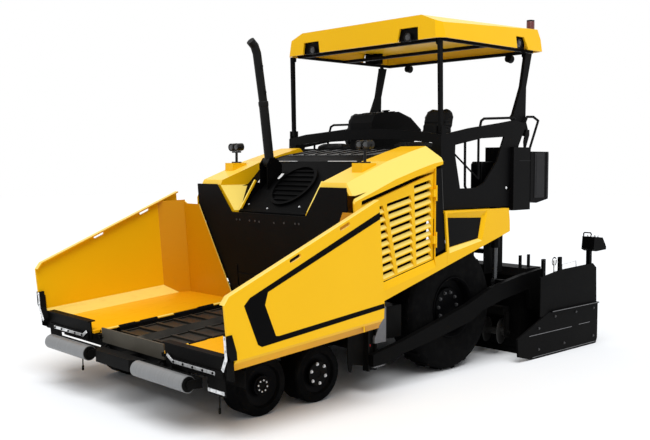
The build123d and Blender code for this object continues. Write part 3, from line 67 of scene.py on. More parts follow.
class Wire:
    """A socket of a finish's node tree, which adds, scales and compares like a number."""

    def __init__(self, tree, socket):
        self.tree = tree
        self.socket = socket

    def node(self, kind, settings, values, output=0):
        """A node of any type: its settings are set first, then the values or links of its sockets."""
        made = self.tree.nodes.new(kind)
        for name, value in settings.items():
            setattr(made, name, value)
        for name, value in values.items():
            if isinstance(value, Wire):
                self.tree.links.new(value.socket, made.inputs[name])
            else:
                made.inputs[name].default_value = value
        return Wire(self.tree, made.outputs[output])

    def math(self, operation, first, second=0.0):
        return self.node("ShaderNodeMath", {"operation": operation}, {0: first, 1: second})

    def __add__(self, other):
        return self.math("ADD", self, other)

    def __sub__(self, other):
        return self.math("SUBTRACT", self, other)

    def __rsub__(self, other):
        return self.math("SUBTRACT", other, self)

    def __mul__(self, other):
        return self.math("MULTIPLY", self, other)

    def __lt__(self, other):
        return self.math("LESS_THAN", self, other)

    def __or__(self, other):
        return self.math("MAXIMUM", self, other)

    __radd__ = __add__
    __rmul__ = __mul__

    def ramp(self, low, high):
        """0 below low and 1 above high."""
        return self.node("ShaderNodeMapRange", {"interpolation_type": "SMOOTHSTEP"},
                         {"Value": self, "From Min": low, "From Max": high})

    def place(self):
        """The point of the piece, in metres."""
        return self.node("ShaderNodeTexCoord", {}, {}, "Object")

    def stretch(self, scale):
        """The point of the piece, with a scale for each axis."""
        return self.node("ShaderNodeMapping", {}, {"Vector": self.place(), "Scale": scale})

    def noise(self, scale, detail=3.0, at=None):
        """A soft cloud between 0 and 1."""
        return self.node("ShaderNodeTexNoise", {}, {"Vector": at or self.place(), "Scale": scale, "Detail": detail})

    def axes(self):
        """The three coordinates of a point of the piece."""
        where = self.place()
        return [self.node("ShaderNodeSeparateXYZ", {}, {"Vector": where}, axis) for axis in "XYZ"]

    def facing_up(self):
        """How far the surface faces up, from -1 to 1."""
        way = self.node("ShaderNodeTexCoord", {}, {}, "Normal")
        return self.node("ShaderNodeSeparateXYZ", {}, {"Vector": way}, "Z")

    def mix(self, share, first, second):
        return self.node("ShaderNodeMix", {"data_type": "RGBA"}, {0: share, 6: first, 7: second}, 2)

    def feed(self, name, value):
        self.tree.links.new(value.socket, self.tree.nodes["Principled BSDF"].inputs[name])

    def relief(self, height, depth):
        """Fine grain in the surface, as deep as depth in metres."""
        self.feed("Normal", self.node("ShaderNodeBump", {}, {"Height": height, "Distance": depth, "Strength": 1.0}))


def new_finish(name, colour, rough, metal=0.0, coat=0.0, shine=0.5):
    """A plain finish and the wire that more of it is made from."""
    finish = bpy.data.materials.new(name)
    finish.use_nodes = True
    shader = finish.node_tree.nodes["Principled BSDF"]
    shader.inputs["Base Color"].default_value = (*colour, 1)
    shader.inputs["Roughness"].default_value = rough
    shader.inputs["Metallic"].default_value = metal
    shader.inputs["Coat Weight"].default_value = coat
    shader.inputs["Coat Roughness"].default_value = 0.12
    shader.inputs["Specular IOR Level"].default_value = shine
    return finish, Wire(finish.node_tree, shader.outputs[0])


studio_white, wire = new_finish("studio_white", (0.795, 0.81, 0.83), 1.0, shine=0.0)
floor.data.materials.append(studio_white)
backdrop = bpy.data.worlds.new("studio_sky")
scene.world = backdrop
backdrop.use_nodes = True
sky = backdrop.node_tree.nodes["Background"]
wire = Wire(backdrop.node_tree, sky.outputs[0])
seen = wire.node("ShaderNodeLightPath", {}, {}, "Is Camera Ray")
glossy = wire.node("ShaderNodeLightPath", {}, {}, "Is Glossy Ray")
through = wire.node("ShaderNodeLightPath", {}, {}, "Is Transmission Ray")
sky.inputs["Color"].default_value = (1, 1, 1, 1)
strength = ((seen | glossy | through) * 0.5) + 0.5
backdrop.node_tree.links.new(strength.socket, sky.inputs["Strength"])

# ------------------------------
# Chassis: longerons, deck, bogie beams, axle, tanks and the screed's carrying parts.
# Welded steel plate in deep satin black, with a little road dust low down; the piston rods are chromed.


def black_paint(name, rough, dust, tone=0.002, shine=0.03, grain=0.0):
    """Satin black paint with dust that settles towards the ground; grain is the depth of a textured coat."""
    finish, wire = new_finish(name, (tone, tone, tone * 1.1), rough, shine=shine)
    z = wire.axes()[2]
    cloud = wire.noise(3.5, 5.0)
    low = 1.0 - z.ramp(0.0, 1.2)
    settled = (cloud.ramp(0.42, 0.75) * 0.4 + low * 0.5) * dust
    paint = wire.mix(cloud, (tone * 0.7, tone * 0.7, tone * 0.8, 1), (tone * 1.4, tone * 1.4, tone * 1.5, 1))
    wire.feed("Base Color", wire.mix(settled, paint, (0.022, 0.021, 0.018, 1)))
    wire.feed("Roughness", wire.noise(45.0) * 0.16 + settled * 0.3 + (rough - 0.06))
    wire.relief(wire.noise(900.0 if grain else 260.0, 2.0), grain or 0.00012)
    return finish


def dress(finish, *names):
    """Gives a finish to CAD nodes."""
    for name in names:
        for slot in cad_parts[name].material_slots:
            slot.material = finish


def both(*names):
    """The names of the left and the right piece."""
    return [name + side for name in names for side in ("_left", "_right")]


chassis_black = black_paint("chassis_black", 0.45, 0.3)
dress(chassis_black, "main_frame", "side_tanks", "axle_beams", "engine_block", "auger_beam", "lashing_eyes",
      *both("knuckle_1", "knuckle_2", "wing_cylinder"), "lift_barrels")
rod_chrome, wire = new_finish("rod_chrome", (0.75, 0.76, 0.78), 0.12, metal=1.0)
wire.feed("Roughness", wire.noise(60.0) * 0.12 + 0.06)
dress(rod_chrome, *both("wing_rod"))

# ------------------------------
# Hopper wings: pressed and welded sheet in gloss yellow, with a black band painted on the outside.
# A black edge plate covers the front of the outer wall.


def deselect():
    """Leaves nothing selected before a new piece is started."""
    bpy.ops.object.select_all(action="DESELECT")


def only(piece):
    """Selects one piece and makes it active."""
    deselect()
    piece.select_set(True)
    bpy.context.view_layer.objects.active = piece


def settle(piece, place=None):
    """Moves a piece's place and turn into its mesh, and turns an inside-out mesh right."""
    if place is not None:
        piece.matrix_world = place
    only(piece)
    flipped = piece.matrix_world.determinant() < 0
    bpy.ops.object.transform_apply(location=True, rotation=True, scale=True)
    if flipped:
        bpy.ops.object.mode_set(mode="EDIT")
        bpy.ops.mesh.select_all(action="SELECT")
        bpy.ops.mesh.normals_make_consistent(inside=False)
        bpy.ops.object.mode_set(mode="OBJECT")
    return piece


def start_outline(name, corners, fill="NGON"):
    """A disc or a ring of as many points as an outline has corners, each moved to its corner, in edit mode."""
    deselect()
    bpy.ops.mesh.primitive_circle_add(vertices=len(corners), radius=0.1, fill_type=fill)
    piece = bpy.context.object
    piece.name = name
    bpy.ops.object.mode_set(mode="EDIT")
    bpy.ops.mesh.select_mode(type="VERT")
    for number, corner in enumerate(corners):
        bpy.ops.mesh.select_all(action="DESELECT")
        mesh = bmesh.from_edit_mesh(piece.data)
        mesh.verts.ensure_lookup_table()
        point = mesh.verts[number]
        point.select = True
        bpy.ops.transform.translate(value=Vector(corner) - point.co)
    bpy.ops.mesh.select_all(action="SELECT")
    return piece


def soften(piece, width, steps=2, angle=30.0):
    """Breaks the sharp edges of a piece."""
    only(piece)
    edge = piece.modifiers.new("edge", "BEVEL")
    edge.width = width
    edge.segments = steps
    edge.limit_method = "ANGLE"
    edge.angle_limit = math.radians(angle)
    bpy.ops.object.modifier_apply(modifier=edge.name)
    return piece


def cut_plate(name, corners, thickness, place=None, rounding=0.0, steps=2):
    """A plate of sheet: an outline thickened by the run from its own face to the other one."""
    piece = start_outline(name, corners)
    bpy.ops.mesh.extrude_region_move(TRANSFORM_OT_translate={"value": thickness})
    bpy.ops.mesh.select_all(action="SELECT")
    bpy.ops.mesh.normals_make_consistent(inside=False)
    bpy.ops.object.mode_set(mode="OBJECT")
    settle(piece, place)
    if rounding:
        soften(piece, rounding, steps)
    return piece


def side_plate(name, y, outline, thickness, place=None, rounding=0.0, steps=2):
    """A plate that stands along the machine: an outline of (x, z) at one y, thickened sideways."""
    return cut_plate(name, [(x, y, z) for x, z in outline], (0, thickness, 0), place, rounding, steps)


def fit(piece, finish, body):
    """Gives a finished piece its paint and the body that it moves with."""
    piece.data.materials.clear()
    piece.data.materials.append(finish)
    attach(piece, body)
    return piece


inner_wall_y = 1.609


def yellow_paint(name, inside=False):
    """Gloss yellow paint, with a painted highlight that makes it paler where it slopes to the sky and painted shade
    that makes level tops a deeper orange; inside the hopper it has painted shade, darkest towards the rear corner,
    and is rubbed a little by the mix.
    """
    finish, wire = new_finish(name, (0.90, 0.50, 0.004), 0.4, coat=0.03, shine=0.12)
    x, y, z = wire.axes()
    cloud = wire.noise(1.7, 4.0)
    tone = wire.mix(cloud, (0.91, 0.515, 0.005, 1), (0.87, 0.48, 0.004, 1))
    up = wire.facing_up()
    # painted shade makes level tops a deeper orange; a painted highlight makes faces that slope up paler
    top = up.ramp(0.90, 0.985)
    painted_highlight = up.ramp(0.32, 0.54) * (1.0 - top)
    tone = wire.mix(top * 0.8, tone, (0.84, 0.44, 0.004, 1))
    tone = wire.mix(painted_highlight * 0.85, tone, (0.84, 0.68, 0.17, 1))
    dust = (1.0 - z.ramp(0.2, 1.0)) * wire.noise(9.0, 5.0).ramp(0.4, 0.8) * 0.2
    rough = cloud * 0.12 + dust * 0.4 + 0.26
    if inside:
        streak = wire.noise(3.0, 6.0, wire.stretch((2.0, 9.0, 9.0)))
        inner = wire.math("ABSOLUTE", y) < inner_wall_y
        # painted shade inside the hopper, darkest towards its rear corner, with the painted highlight on its
        # up-sloping faces
        shade = wire.mix(x.ramp(1.1, 2.5), (0.60, 0.25, 0.002, 1), (0.82, 0.38, 0.003, 1))
        rubbed = streak.ramp(0.50, 0.80) * (1.0 - z.ramp(0.75, 1.7)) * inner * 0.22
        tone = wire.mix(inner * 0.9, tone, wire.mix(painted_highlight, shade, (0.80, 0.58, 0.12, 1)))
        tone = wire.mix(rubbed, tone, (0.46, 0.22, 0.02, 1))
        rough = rough + rubbed * 0.5
    wire.feed("Base Color", tone)
    wire.feed("Roughness", rough)
    wire.relief(wire.noise(240.0, 2.0), 0.00008)
    return finish


body_yellow = yellow_paint("body_yellow")
wing_yellow = yellow_paint("wing_yellow", inside=True)
dress(wing_yellow, *both("hopper_wing"))

sides = (("left", 1), ("right", -1))
# the hopper slopes down to the front; its pieces are drawn level and then laid on this slope
fall = math.radians(4.4)
hopper = Matrix.Translation((1.1, 0, 0.709)) @ Matrix.Rotation(fall, 4, "Y")
band_black = black_paint("band_black", 0.4, 0.0, tone=0.0015, shine=0.03)
band_outer = [(-0.062, 1.056), (1.472, 0.552), (1.536, 0.499), (1.423, 0.160), (1.384, 0.135), (-0.062, 0.174)]
band_inner = [(-0.20, 1.036), (1.286, 0.566), (1.325, 0.467), (1.232, 0.193), (1.200, 0.186), (-0.20, 0.221)]
edge_cover = [(1.730, 0.296), (1.674, 0.296), (1.640, 0.150), (1.640, 0.086), (1.700, 0.086), (1.732, 0.160)]
wing_wall_y = 1.6302
band_depth = 0.0012
for side, way in sides:
    y = wing_wall_y * way
    paint = band_depth * way
    band = side_plate("wing_band_" + side, y, band_outer, paint, hopper)
    window = side_plate("wing_band_window", y - 8 * paint, band_inner, 16 * paint, hopper)
    only(band)
    opening = band.modifiers.new("opening", "BOOLEAN")
    opening.operation = "DIFFERENCE"
    opening.solver = "EXACT"
    opening.object = window
    bpy.ops.object.modifier_apply(modifier=opening.name)
    bpy.data.objects.remove(window)
    fit(band, band_black, "wing_" + side)
    cover = side_plate("wing_edge_cover_" + side, y, edge_cover, 0.006 * way, hopper, 0.002)
    fit(cover, chassis_black, "wing_" + side)

# ------------------------------
# Aprons: black steel plates that close the wings' front, with rubber flaps clamped under bright flat bars.
# Each bar is held by a row of hexagon bolts; the outer one follows the wing's front edge down and inwards.


def draw_out(name, rings, corners=20):
    """A turned piece: a disc drawn out along Z through rings of (radius, height)."""
    deselect()
    first_radius, first_height = rings[0]
    bpy.ops.mesh.primitive_circle_add(vertices=corners, radius=first_radius, fill_type="NGON",
                                      location=(0, 0, first_height))
    piece = bpy.context.object
    piece.name = name
    bpy.ops.object.transform_apply(location=True, rotation=True, scale=True)
    bpy.ops.object.mode_set(mode="EDIT")
    bpy.ops.mesh.select_all(action="SELECT")
    for (radius, height), (next_radius, next_height) in zip(rings, rings[1:]):
        bpy.ops.mesh.extrude_region_move(TRANSFORM_OT_translate={"value": (0, 0, next_height - height)})
        share = next_radius / radius
        bpy.ops.transform.resize(value=(share, share, 1), center_override=(0, 0, next_height))
    bpy.ops.mesh.select_all(action="SELECT")
    bpy.ops.mesh.normals_make_consistent(inside=False)
    bpy.ops.object.mode_set(mode="OBJECT")
    return piece


def smooth(piece, angle=35.0):
    """Shades the faces that meet at less than an angle as one curve."""
    only(piece)
    bpy.ops.object.shade_smooth_by_angle(angle=math.radians(angle))
    return piece


def join(name, pieces):
    """One object from several like pieces."""
    deselect()
    for piece in pieces:
        piece.select_set(True)
    bpy.context.view_layer.objects.active = pieces[0]
    if len(pieces) > 1:
        bpy.ops.object.join()
    pieces[0].name = name
    return pieces[0]


def repeat(name, piece, places):
    """Copies a piece to places, each with its own mesh, as one object; the first one goes."""
    twins = []
    for place in places:
        only(piece)
        bpy.ops.object.duplicate(linked=False)
        twins.append(settle(bpy.context.object, place))
    bpy.data.objects.remove(piece)
    return join(name, twins)


def aimed(at, toward, turn=0.0):
    """The place at a point, with Z turned to a direction."""
    way = Vector(toward).to_track_quat("Z", "Y").to_matrix().to_4x4()
    return Matrix.Translation(at) @ way @ Matrix.Rotation(turn, 4, "Z")


def twin_of(piece, name):
    """The mirror image of a piece on the machine's other side."""
    only(piece)
    bpy.ops.object.duplicate(linked=False)
    twin = bpy.context.object
    twin.name = name
    return settle(twin, Matrix.Scale(-1, 4, (0, 1, 0)))


def bolt_head(radius, height):
    """A hexagon head with its chamfer, on its washer."""
    return draw_out("bolt_head", [(radius * 1.35, 0), (radius * 1.35, height * 0.2), (radius, height * 0.2001),
                                  (radius, height * 0.85), (radius * 0.8, height)], 6)


bolt_zinc, wire = new_finish("bolt_zinc", (0.62, 0.63, 0.64), 0.34, metal=0.9)
wire.feed("Roughness", wire.noise(90.0) * 0.2 + 0.24)
dress(chassis_black, *both("apron"))
apron_rubber = black_paint("apron_rubber", 0.75, 0.3, tone=0.003, shine=0.03, grain=0.0004)
bar_steel, wire = new_finish("bar_steel", (0.78, 0.79, 0.80), 0.3, metal=0.75)
worn = wire.noise(26.0, 5.0)
wire.feed("Roughness", worn * 0.3 + 0.2)
wire.feed("Base Color", wire.mix(worn.ramp(0.35, 0.8), (0.84, 0.85, 0.86, 1), (0.50, 0.50, 0.49, 1)))

# outlines of (y, z) in the hopper: each bar, and the rubber behind it, which is as deep as the bar stands off
bar_depth = 0.005
low_bar = [(1.385, -0.068), (1.385, -0.038), (0.788, -0.038), (0.708, 0.006), (0.690, -0.016), (0.778, -0.068)]
edge_bar = [(1.618, 0.290), (1.588, 0.290), (1.588, 0.118), (1.530, 0.012), (1.556, -0.008), (1.618, 0.104)]
foot_bar = [(1.490, -0.220), (1.490, -0.190), (1.268, -0.190), (1.268, -0.220)]
low_rubber = [(1.49, -0.088), (1.49, -0.030), (0.69, -0.030), (0.69, -0.088)]
edge_rubber = [(1.606, 0.296), (1.580, 0.296), (1.580, 0.130), (1.515, 0.020), (1.540, -0.020), (1.606, 0.080)]
foot_rubber = [(1.50, -0.235), (1.50, -0.060), (1.262, -0.060), (1.262, -0.235)]
for name, face, back, bar, flap, bolts in (
        ("low", 1.6856, 0.016, low_bar, low_rubber, [(place, -0.053) for place in (0.80, 0.94, 1.08, 1.22, 1.36)]),
        ("edge", 1.7225, 0.053, edge_bar, edge_rubber, [(1.603, 0.27), (1.603, 0.17), (1.585, 0.075), (1.555, 0.02)]),
        ("foot", 1.6795, 0.010, foot_bar, foot_rubber, [(1.29, -0.205), (1.38, -0.205), (1.47, -0.205)])):
    rubber = cut_plate("apron_rubber_%s_left" % name, [(face - back, y, z) for y, z in flap], (back, 0, 0),
                       hopper, 0.003)
    plate = cut_plate("apron_bar_%s_left" % name, [(face, y, z) for y, z in bar], (bar_depth, 0, 0), hopper, 0.0012)
    heads = repeat("apron_bolts_%s_left" % name, bolt_head(0.009, 0.009),
                   [hopper @ aimed((face + bar_depth - 0.0002, y, z), (1, 0, 0), 0.3) for y, z in bolts])
    for piece, finish, slot in ((rubber, apron_rubber, "tyre_black"), (plate, bar_steel, "bare_steel"),
                                (heads, chassis_black if name == "low" else bolt_zinc, "bare_steel")):
        mirrored = twin_of(piece, piece.name.replace("left", "right"))
        fit(piece, finish, "wing_left")
        fit(mirrored, finish, "wing_right")

# thin pointer rods that show the driver where the beam and the flap end
for name, at, drop, body in (("flap_pointer", (2.757, 1.42, 0.47), 0.27, "wing_left"),
                             ("beam_pointer", (2.807, -0.74, 0.39), 0.20, "push_beam")):
    stem = draw_out(name, [(0.006, 0), (0.006, drop - 0.05), (0.011, drop - 0.045), (0.011, drop - 0.004),
                           (0.008, drop)], 12)
    settle(stem, aimed(at, (0, 0, -1)))
    fit(smooth(stem), chassis_black, body)

# ------------------------------
# Conveyor and bulkhead: steel floor polished by the mix, and the black wall behind the hopper.
# Rubber seals close its sides, a curtain hangs behind each apron, and a locking lever stands on the front lip.


def turn_ring(name, corners, centre, axis, steps=48):
    """A ring: an outline turned once round an axis."""
    piece = start_outline(name, corners, "NOTHING")
    bpy.ops.mesh.spin(steps=steps, angle=2 * math.pi, center=centre, axis=axis)
    bpy.ops.mesh.select_all(action="SELECT")
    bpy.ops.mesh.remove_doubles(threshold=0.00005)
    bpy.ops.mesh.normals_make_consistent(inside=False)
    bpy.ops.object.mode_set(mode="OBJECT")
    return piece


def bend_rod(name, points, radius):
    """A round rod bent sharply along points."""
    deselect()
    bpy.ops.curve.primitive_bezier_curve_add()
    piece = bpy.context.object
    piece.name = name
    piece.data.dimensions = "3D"
    knots = piece.data.splines[0].bezier_points
    knots.add(len(points) - len(knots))
    for knot, point in zip(knots, points):
        knot.co = point
        knot.handle_left_type = "VECTOR"
        knot.handle_right_type = "VECTOR"
    piece.data.resolution_u = 1
    piece.data.bevel_depth = radius
    piece.data.bevel_resolution = 3
    piece.data.use_fill_caps = True
    only(piece)
    bpy.ops.object.convert(target="MESH")
    piece = bpy.context.object
    bpy.ops.object.mode_set(mode="EDIT")
    bpy.ops.mesh.select_all(action="SELECT")
    bpy.ops.mesh.remove_doubles(threshold=0.00005)
    bpy.ops.mesh.normals_make_consistent(inside=False)
    bpy.ops.object.mode_set(mode="OBJECT")
    return smooth(piece)


worn_steel, wire = new_finish("worn_steel", (0.05, 0.045, 0.035), 0.5, metal=0.3, shine=0.2)
cloud = wire.noise(3.0, 6.0)
lip = wire.axes()[0].ramp(2.56, 2.64)
caked = wire.mix(lip, (0.011, 0.010, 0.008, 1), (0.065, 0.057, 0.043, 1))
rubbed = wire.mix(lip, (0.028, 0.025, 0.020, 1), (0.10, 0.09, 0.07, 1))
wire.feed("Base Color", wire.mix(cloud.ramp(0.3, 0.75), caked, rubbed))
wire.feed("Roughness", cloud * 0.25 + 0.38)
wire.relief(wire.noise(60.0, 3.0), 0.0003)
dress(worn_steel, "conveyor")
auger_steel, wire = new_finish("auger_steel", (0.03, 0.03, 0.03), 0.5, metal=0.6)
cloud = wire.noise(9.0, 5.0)
wire.feed("Base Color", wire.mix(cloud, (0.010, 0.010, 0.010, 1), (0.05, 0.048, 0.045, 1)))
wire.feed("Roughness", cloud * 0.3 + 0.35)
dress(auger_steel, *both("auger"))
bulkhead_black = black_paint("bulkhead_black", 0.5, 0.05, tone=0.0025, shine=0.05)
dress(bulkhead_black, "hopper_bulkhead")

lever = bend_rod("lip_lever", [(2.700, -0.600, 0.500), (2.690, -0.440, 0.566), (2.684, -0.290, 0.622)], 0.011)
six_turns = (0, 1.05, 2.09, 3.14, 4.19, 5.24)
eye = turn_ring("lip_lever_eye", [(2.684, -0.262 + 0.012 * math.cos(turn), 0.654 + 0.012 * math.sin(turn))
                                  for turn in six_turns], (2.684, -0.262, 0.632), (1, 0, 0), 20)
lever = join("lip_lever", [lever, smooth(eye)])
fit(lever, chassis_black, "tractor")

bulkhead_bolts = repeat("bulkhead_bolts", bolt_head(0.009, 0.008), [
    aimed((1.0925, y, z), (1, 0, -0.077)) for y, z in (
        (-0.505, 1.60), (-0.45, 1.60), (-0.28, 1.598), (-0.19, 1.598), (-0.12, 1.592), (0.12, 1.592), (0.28, 1.598),
        (0.45, 1.60), (0.505, 1.60))])
dark_zinc, wire = new_finish("dark_zinc", (0.06, 0.06, 0.062), 0.4, metal=0.6)
wire.feed("Roughness", wire.noise(60.0) * 0.3 + 0.3)
fit(bulkhead_bolts, dark_zinc, "tractor")
seal_outline = [(0.03, -0.060), (1.52, -0.060), (1.52, 0.0), (0.03, 0.0)]
curtain_outline = [(0.640, 0.560), (1.540, 0.540), (1.540, 0.400), (0.640, 0.400)]
curtain_x = 2.586
for side, way in sides:
    seal = side_plate("conveyor_seal_" + side, way * 0.549, seal_outline, way * 0.006, hopper, 0.001)
    fit(seal, apron_rubber, "tractor")
    curtain = cut_plate("wing_curtain_" + side, [(curtain_x, way * y, z) for y, z in curtain_outline],
                        (0.008, 0, 0), None, 0.002)
    fit(curtain, apron_rubber, "wing_" + side)

# ------------------------------
# Push beam and its two rollers: a black box beam that swings on the tongue, with bright steel rollers.
# The lorry's wheels bear on the rollers, which turn on pins and are closed by black bearing caps.
roller_steel, wire = new_finish("roller_steel", (0.25, 0.255, 0.26), 0.34, metal=0.6)
ring = wire.noise(3.0, 4.0, wire.stretch((0.6, 55.0, 0.6)))
wire.feed("Roughness", ring * 0.2 + 0.34)
wire.feed("Base Color", wire.mix(ring, (0.16, 0.163, 0.166, 1), (0.28, 0.285, 0.29, 1)))
dress(roller_steel, *both("push_roller"))
dress(chassis_black, "push_beam")
roller_axis_x, roller_axis_z = 2.905, 0.424
for side, way in sides:
    caps = []
    for y, out in ((0.420, -1), (1.198, 1)):
        cap = draw_out("roller_cap", [(0.064, -0.002), (0.064, 0.004), (0.058, 0.007), (0.040, 0.007), (0.036, 0.003),
                                      (0.022, 0.003)], 32)
        caps.append(settle(cap, aimed((roller_axis_x, y * way, roller_axis_z), (0, out * way, 0))))
    caps = smooth(join("roller_caps_" + side, caps))
    fit(caps, chassis_black, "push_roller_" + side)

# ------------------------------
# Front wheels: solid rubber tyres on dished steel discs, black all over.
# The first row carries a small ring of hub bolts, the second a flange with six large ones.


def wheel_black(name, axle, radius):
    """Rubber outside a radius about the axle and paint inside it."""
    finish, wire = new_finish(name, (0.002, 0.002, 0.002), 0.6, shine=0.03)
    x, y, z = wire.axes()
    away = wire.math("SQRT", (x - axle[0]) * (x - axle[0]) + (z - axle[1]) * (z - axle[1]))
    rubber = away.ramp(radius - 0.002, radius + 0.002)
    grime = wire.noise(14.0, 5.0)
    disc = wire.mix(grime, (0.0015, 0.0015, 0.0018, 1), (0.003, 0.003, 0.0035, 1))
    tyre = wire.mix(grime.ramp(0.4, 0.75) * 0.6, (0.0018, 0.0018, 0.002, 1), (0.006, 0.006, 0.0058, 1))
    wire.feed("Base Color", wire.mix(rubber, disc, tyre))
    wire.feed("Roughness", rubber * 0.3 + grime * 0.1 + 0.38)
    wire.relief(wire.noise(180.0, 3.0), 0.0004)
    return finish


hub_face = 1.1702
front_axle_z = 0.27
disc_radius = 0.176
for row, axle_x, flange_radius, count, reach, head, turned in (
        ("1", 2.115, 0.066, 8, 0.050, 0.0062, 0.2), ("2", 1.455, 0.114, 6, 0.092, 0.0125, 0.35)):
    dress(wheel_black("front_wheel_black_" + row, (axle_x, front_axle_z), disc_radius), *both("front_wheel_" + row))
    for side, way in sides:
        flange = draw_out("hub_flange", [(flange_radius, -0.006), (flange_radius, 0.004),
                                         (flange_radius - 0.005, 0.008), (0.036, 0.008), (0.032, 0.002),
                                         (0.02, 0.001)], 32)
        settle(flange, aimed((axle_x, hub_face * way, front_axle_z), (0, way, 0)))
        fit(smooth(flange), chassis_black, "front_wheel_%s_%s" % (row, side))
        flange.name = "hub_flange_%s_%s" % (row, side)
        heads = repeat("hub_bolts_%s_%s" % (row, side), bolt_head(head, head * 1.1), [
            aimed((axle_x + reach * math.cos(turned + place * 2 * math.pi / count), (hub_face + 0.0078) * way,
                   front_axle_z + reach * math.sin(turned + place * 2 * math.pi / count)), (0, way, 0), 0.4)
            for place in range(count)])
        fit(heads, bolt_zinc, "front_wheel_%s_%s" % (row, side))

# ------------------------------
# Rear wheels: big driven tyres with slanted road lugs, on painted rims with a ring of wheel nuts.
# The tyre stands for the plain solid and keeps inside it.
axle_x, axle_z = -0.455, 0.68
wheel_middle = 1.051
rim_radius = 0.322
nut_circle = 0.15
rear_black = wheel_black("rear_wheel_black", (axle_x, axle_z), rim_radius)
dress(rear_black, *both("rear_rim"))
casing = [(-0.165, 0.3215), (-0.184, 0.41), (-0.181, 0.54), (-0.158, 0.636), (-0.118, 0.6665), (0.118, 0.6665),
          (0.158, 0.636), (0.181, 0.54), (0.184, 0.41), (0.165, 0.3215)]
lug_outline = [(-0.026, 0.004), (0.026, 0.004), (0.044, 0.108), (0.046, 0.124), (-0.004, 0.124), (-0.006, 0.108)]
lug_count = 20
for side, way in sides:
    tyre = turn_ring("tyre_casing", [(axle_x, way * wheel_middle + y, axle_z + r) for y, r in casing],
                     (axle_x, 0, axle_z), (0, 1, 0), 72)
    soften(tyre, 0.006, 2, 25)
    lug = cut_plate("tyre_lug", [(x, y, 0.640) for x, y in lug_outline], (0, 0, 0.0385), None, 0.005, 1)
    places = []
    for number in range(lug_count):
        for row in (1, -1):
            turned = 2 * math.pi * (number + 0.25 * row) / lug_count
            places.append(Matrix.Translation((axle_x, way * wheel_middle, axle_z)) @ Matrix.Rotation(turned, 4, "Y")
                          @ Matrix.Scale(row, 4, (0, 1, 0)))
    lugs = repeat("tyre_lugs", lug, places)
    tyre = smooth(join("rear_tyre_tread_" + side, [tyre, lugs]), 30)
    fit(tyre, rear_black, "rear_wheel_" + side)
    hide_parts("rear_tyre_" + side)
    nuts = repeat("wheel_nuts_" + side, bolt_head(0.016, 0.024), [
        aimed((axle_x + nut_circle * math.cos(place * math.pi / 5), way * 1.1425,
               axle_z + nut_circle * math.sin(place * math.pi / 5)), (0, way, 0)) for place in range(10)])
    fit(nuts, dark_zinc, "rear_wheel_" + side)

# ------------------------------
# Hood between the side shells: textured black sheet with a round fan grille and two small service lamps.
# A sheet of expanded metal lies on its rear slope under slanted stiffening ribs.
hood_black = black_paint("hood_black", 0.5, 0.0, tone=0.0012, shine=0.03, grain=0.0002)
dress(hood_black, "engine_hood")


def hood_z(x):
    """Height of the hood's top over a point of its middle line."""
    line = [(-0.205, 2.350), (0.185, 2.290), (0.440, 2.222), (0.980, 1.706)]
    for (x0, z0), (x1, z1) in zip(line, line[1:]):
        if x <= x1:
            return z0 + (z1 - z0) * (x - x0) / (x1 - x0)


mesh_grey, wire = new_finish("mesh_grey", (0.20, 0.20, 0.20), 0.5, metal=0.4, shine=0.3)
weave = wire.node("ShaderNodeTexVoronoi", {"feature": "DISTANCE_TO_EDGE"}, {
    "Vector": wire.stretch((1.0, 0.45, 1.0)), "Scale": 70.0})
wire.feed("Base Color", wire.mix(weave.ramp(0.02, 0.10), (0.24, 0.24, 0.24, 1), (0.03, 0.03, 0.03, 1)))
wire.relief(weave, 0.002)
low_x, high_x, screen_half = 0.200, -0.195, 0.70
screen = cut_plate("hood_screen", [(x, y, hood_z(x) + 0.002) for x, y in (
    (low_x, -screen_half), (low_x, screen_half), (high_x, screen_half), (high_x, -screen_half))],
    (0, 0, 0.006), None, 0.0015)
fit(screen, mesh_grey, "tractor")
ribs = []
for place in range(7):
    y = -0.62 + place * 0.19
    ribs.append(cut_plate("hood_rib", [(x, y + shift, hood_z(x) + 0.007) for x, shift in (
        (0.19, 0.0), (0.19, 0.016), (-0.185, 0.136), (-0.185, 0.12))], (0, 0, 0.011), None, 0.002))
fit(join("hood_ribs", ribs), hood_black, "tractor")
# bright steel rods along the hood's crease: a painted highlight of that edge
crease_highlights = [bend_rod("hood_trim", [(0.444, low, 2.224), (0.444, high, 2.224)], 0.0045)
         for low, high in ((-0.60, -0.25), (0.24, 0.67))]
fit(join("hood_trims", crease_highlights), bar_steel, "tractor")
slope = Vector((0.516, 0, 0.540)).normalized()
service_glass, wire = new_finish("service_glass", (0.80, 0.80, 0.80), 0.15, coat=0.6)
wire.feed("Base Color", wire.mix(wire.noise(50.0), (0.72, 0.72, 0.72, 1), (0.88, 0.88, 0.88, 1)))
along = [(-0.028, -0.050), (0.028, -0.050), (0.028, 0.050), (-0.028, 0.050)]
for name, x, y in (("outer", 0.668, -0.600), ("inner", 0.622, -0.310)):
    seat = aimed((x, y, hood_z(x)), slope)
    case = cut_plate("service_lamp_case_" + name, [(a, b, -0.004) for a, b in along], (0, 0, 0.022), seat, 0.006, 3)
    pane = cut_plate("service_lamp_pane_" + name, [(a * 0.8, b * 0.84, 0.014) for a, b in along], (0, 0, 0.006),
                     seat, 0.002)
    fit(case, hood_black, "tractor")
    fit(pane, service_glass, "tractor")
hood_bolts = repeat("hood_bolts", bolt_head(0.009, 0.008), [
    aimed((x, y, hood_z(x) - 0.0005), slope)
    for x, y in ((0.925, -0.505), (0.960, -0.150), (0.925, 0.320), (0.925, 0.505))])
fit(hood_bolts, bolt_zinc, "tractor")

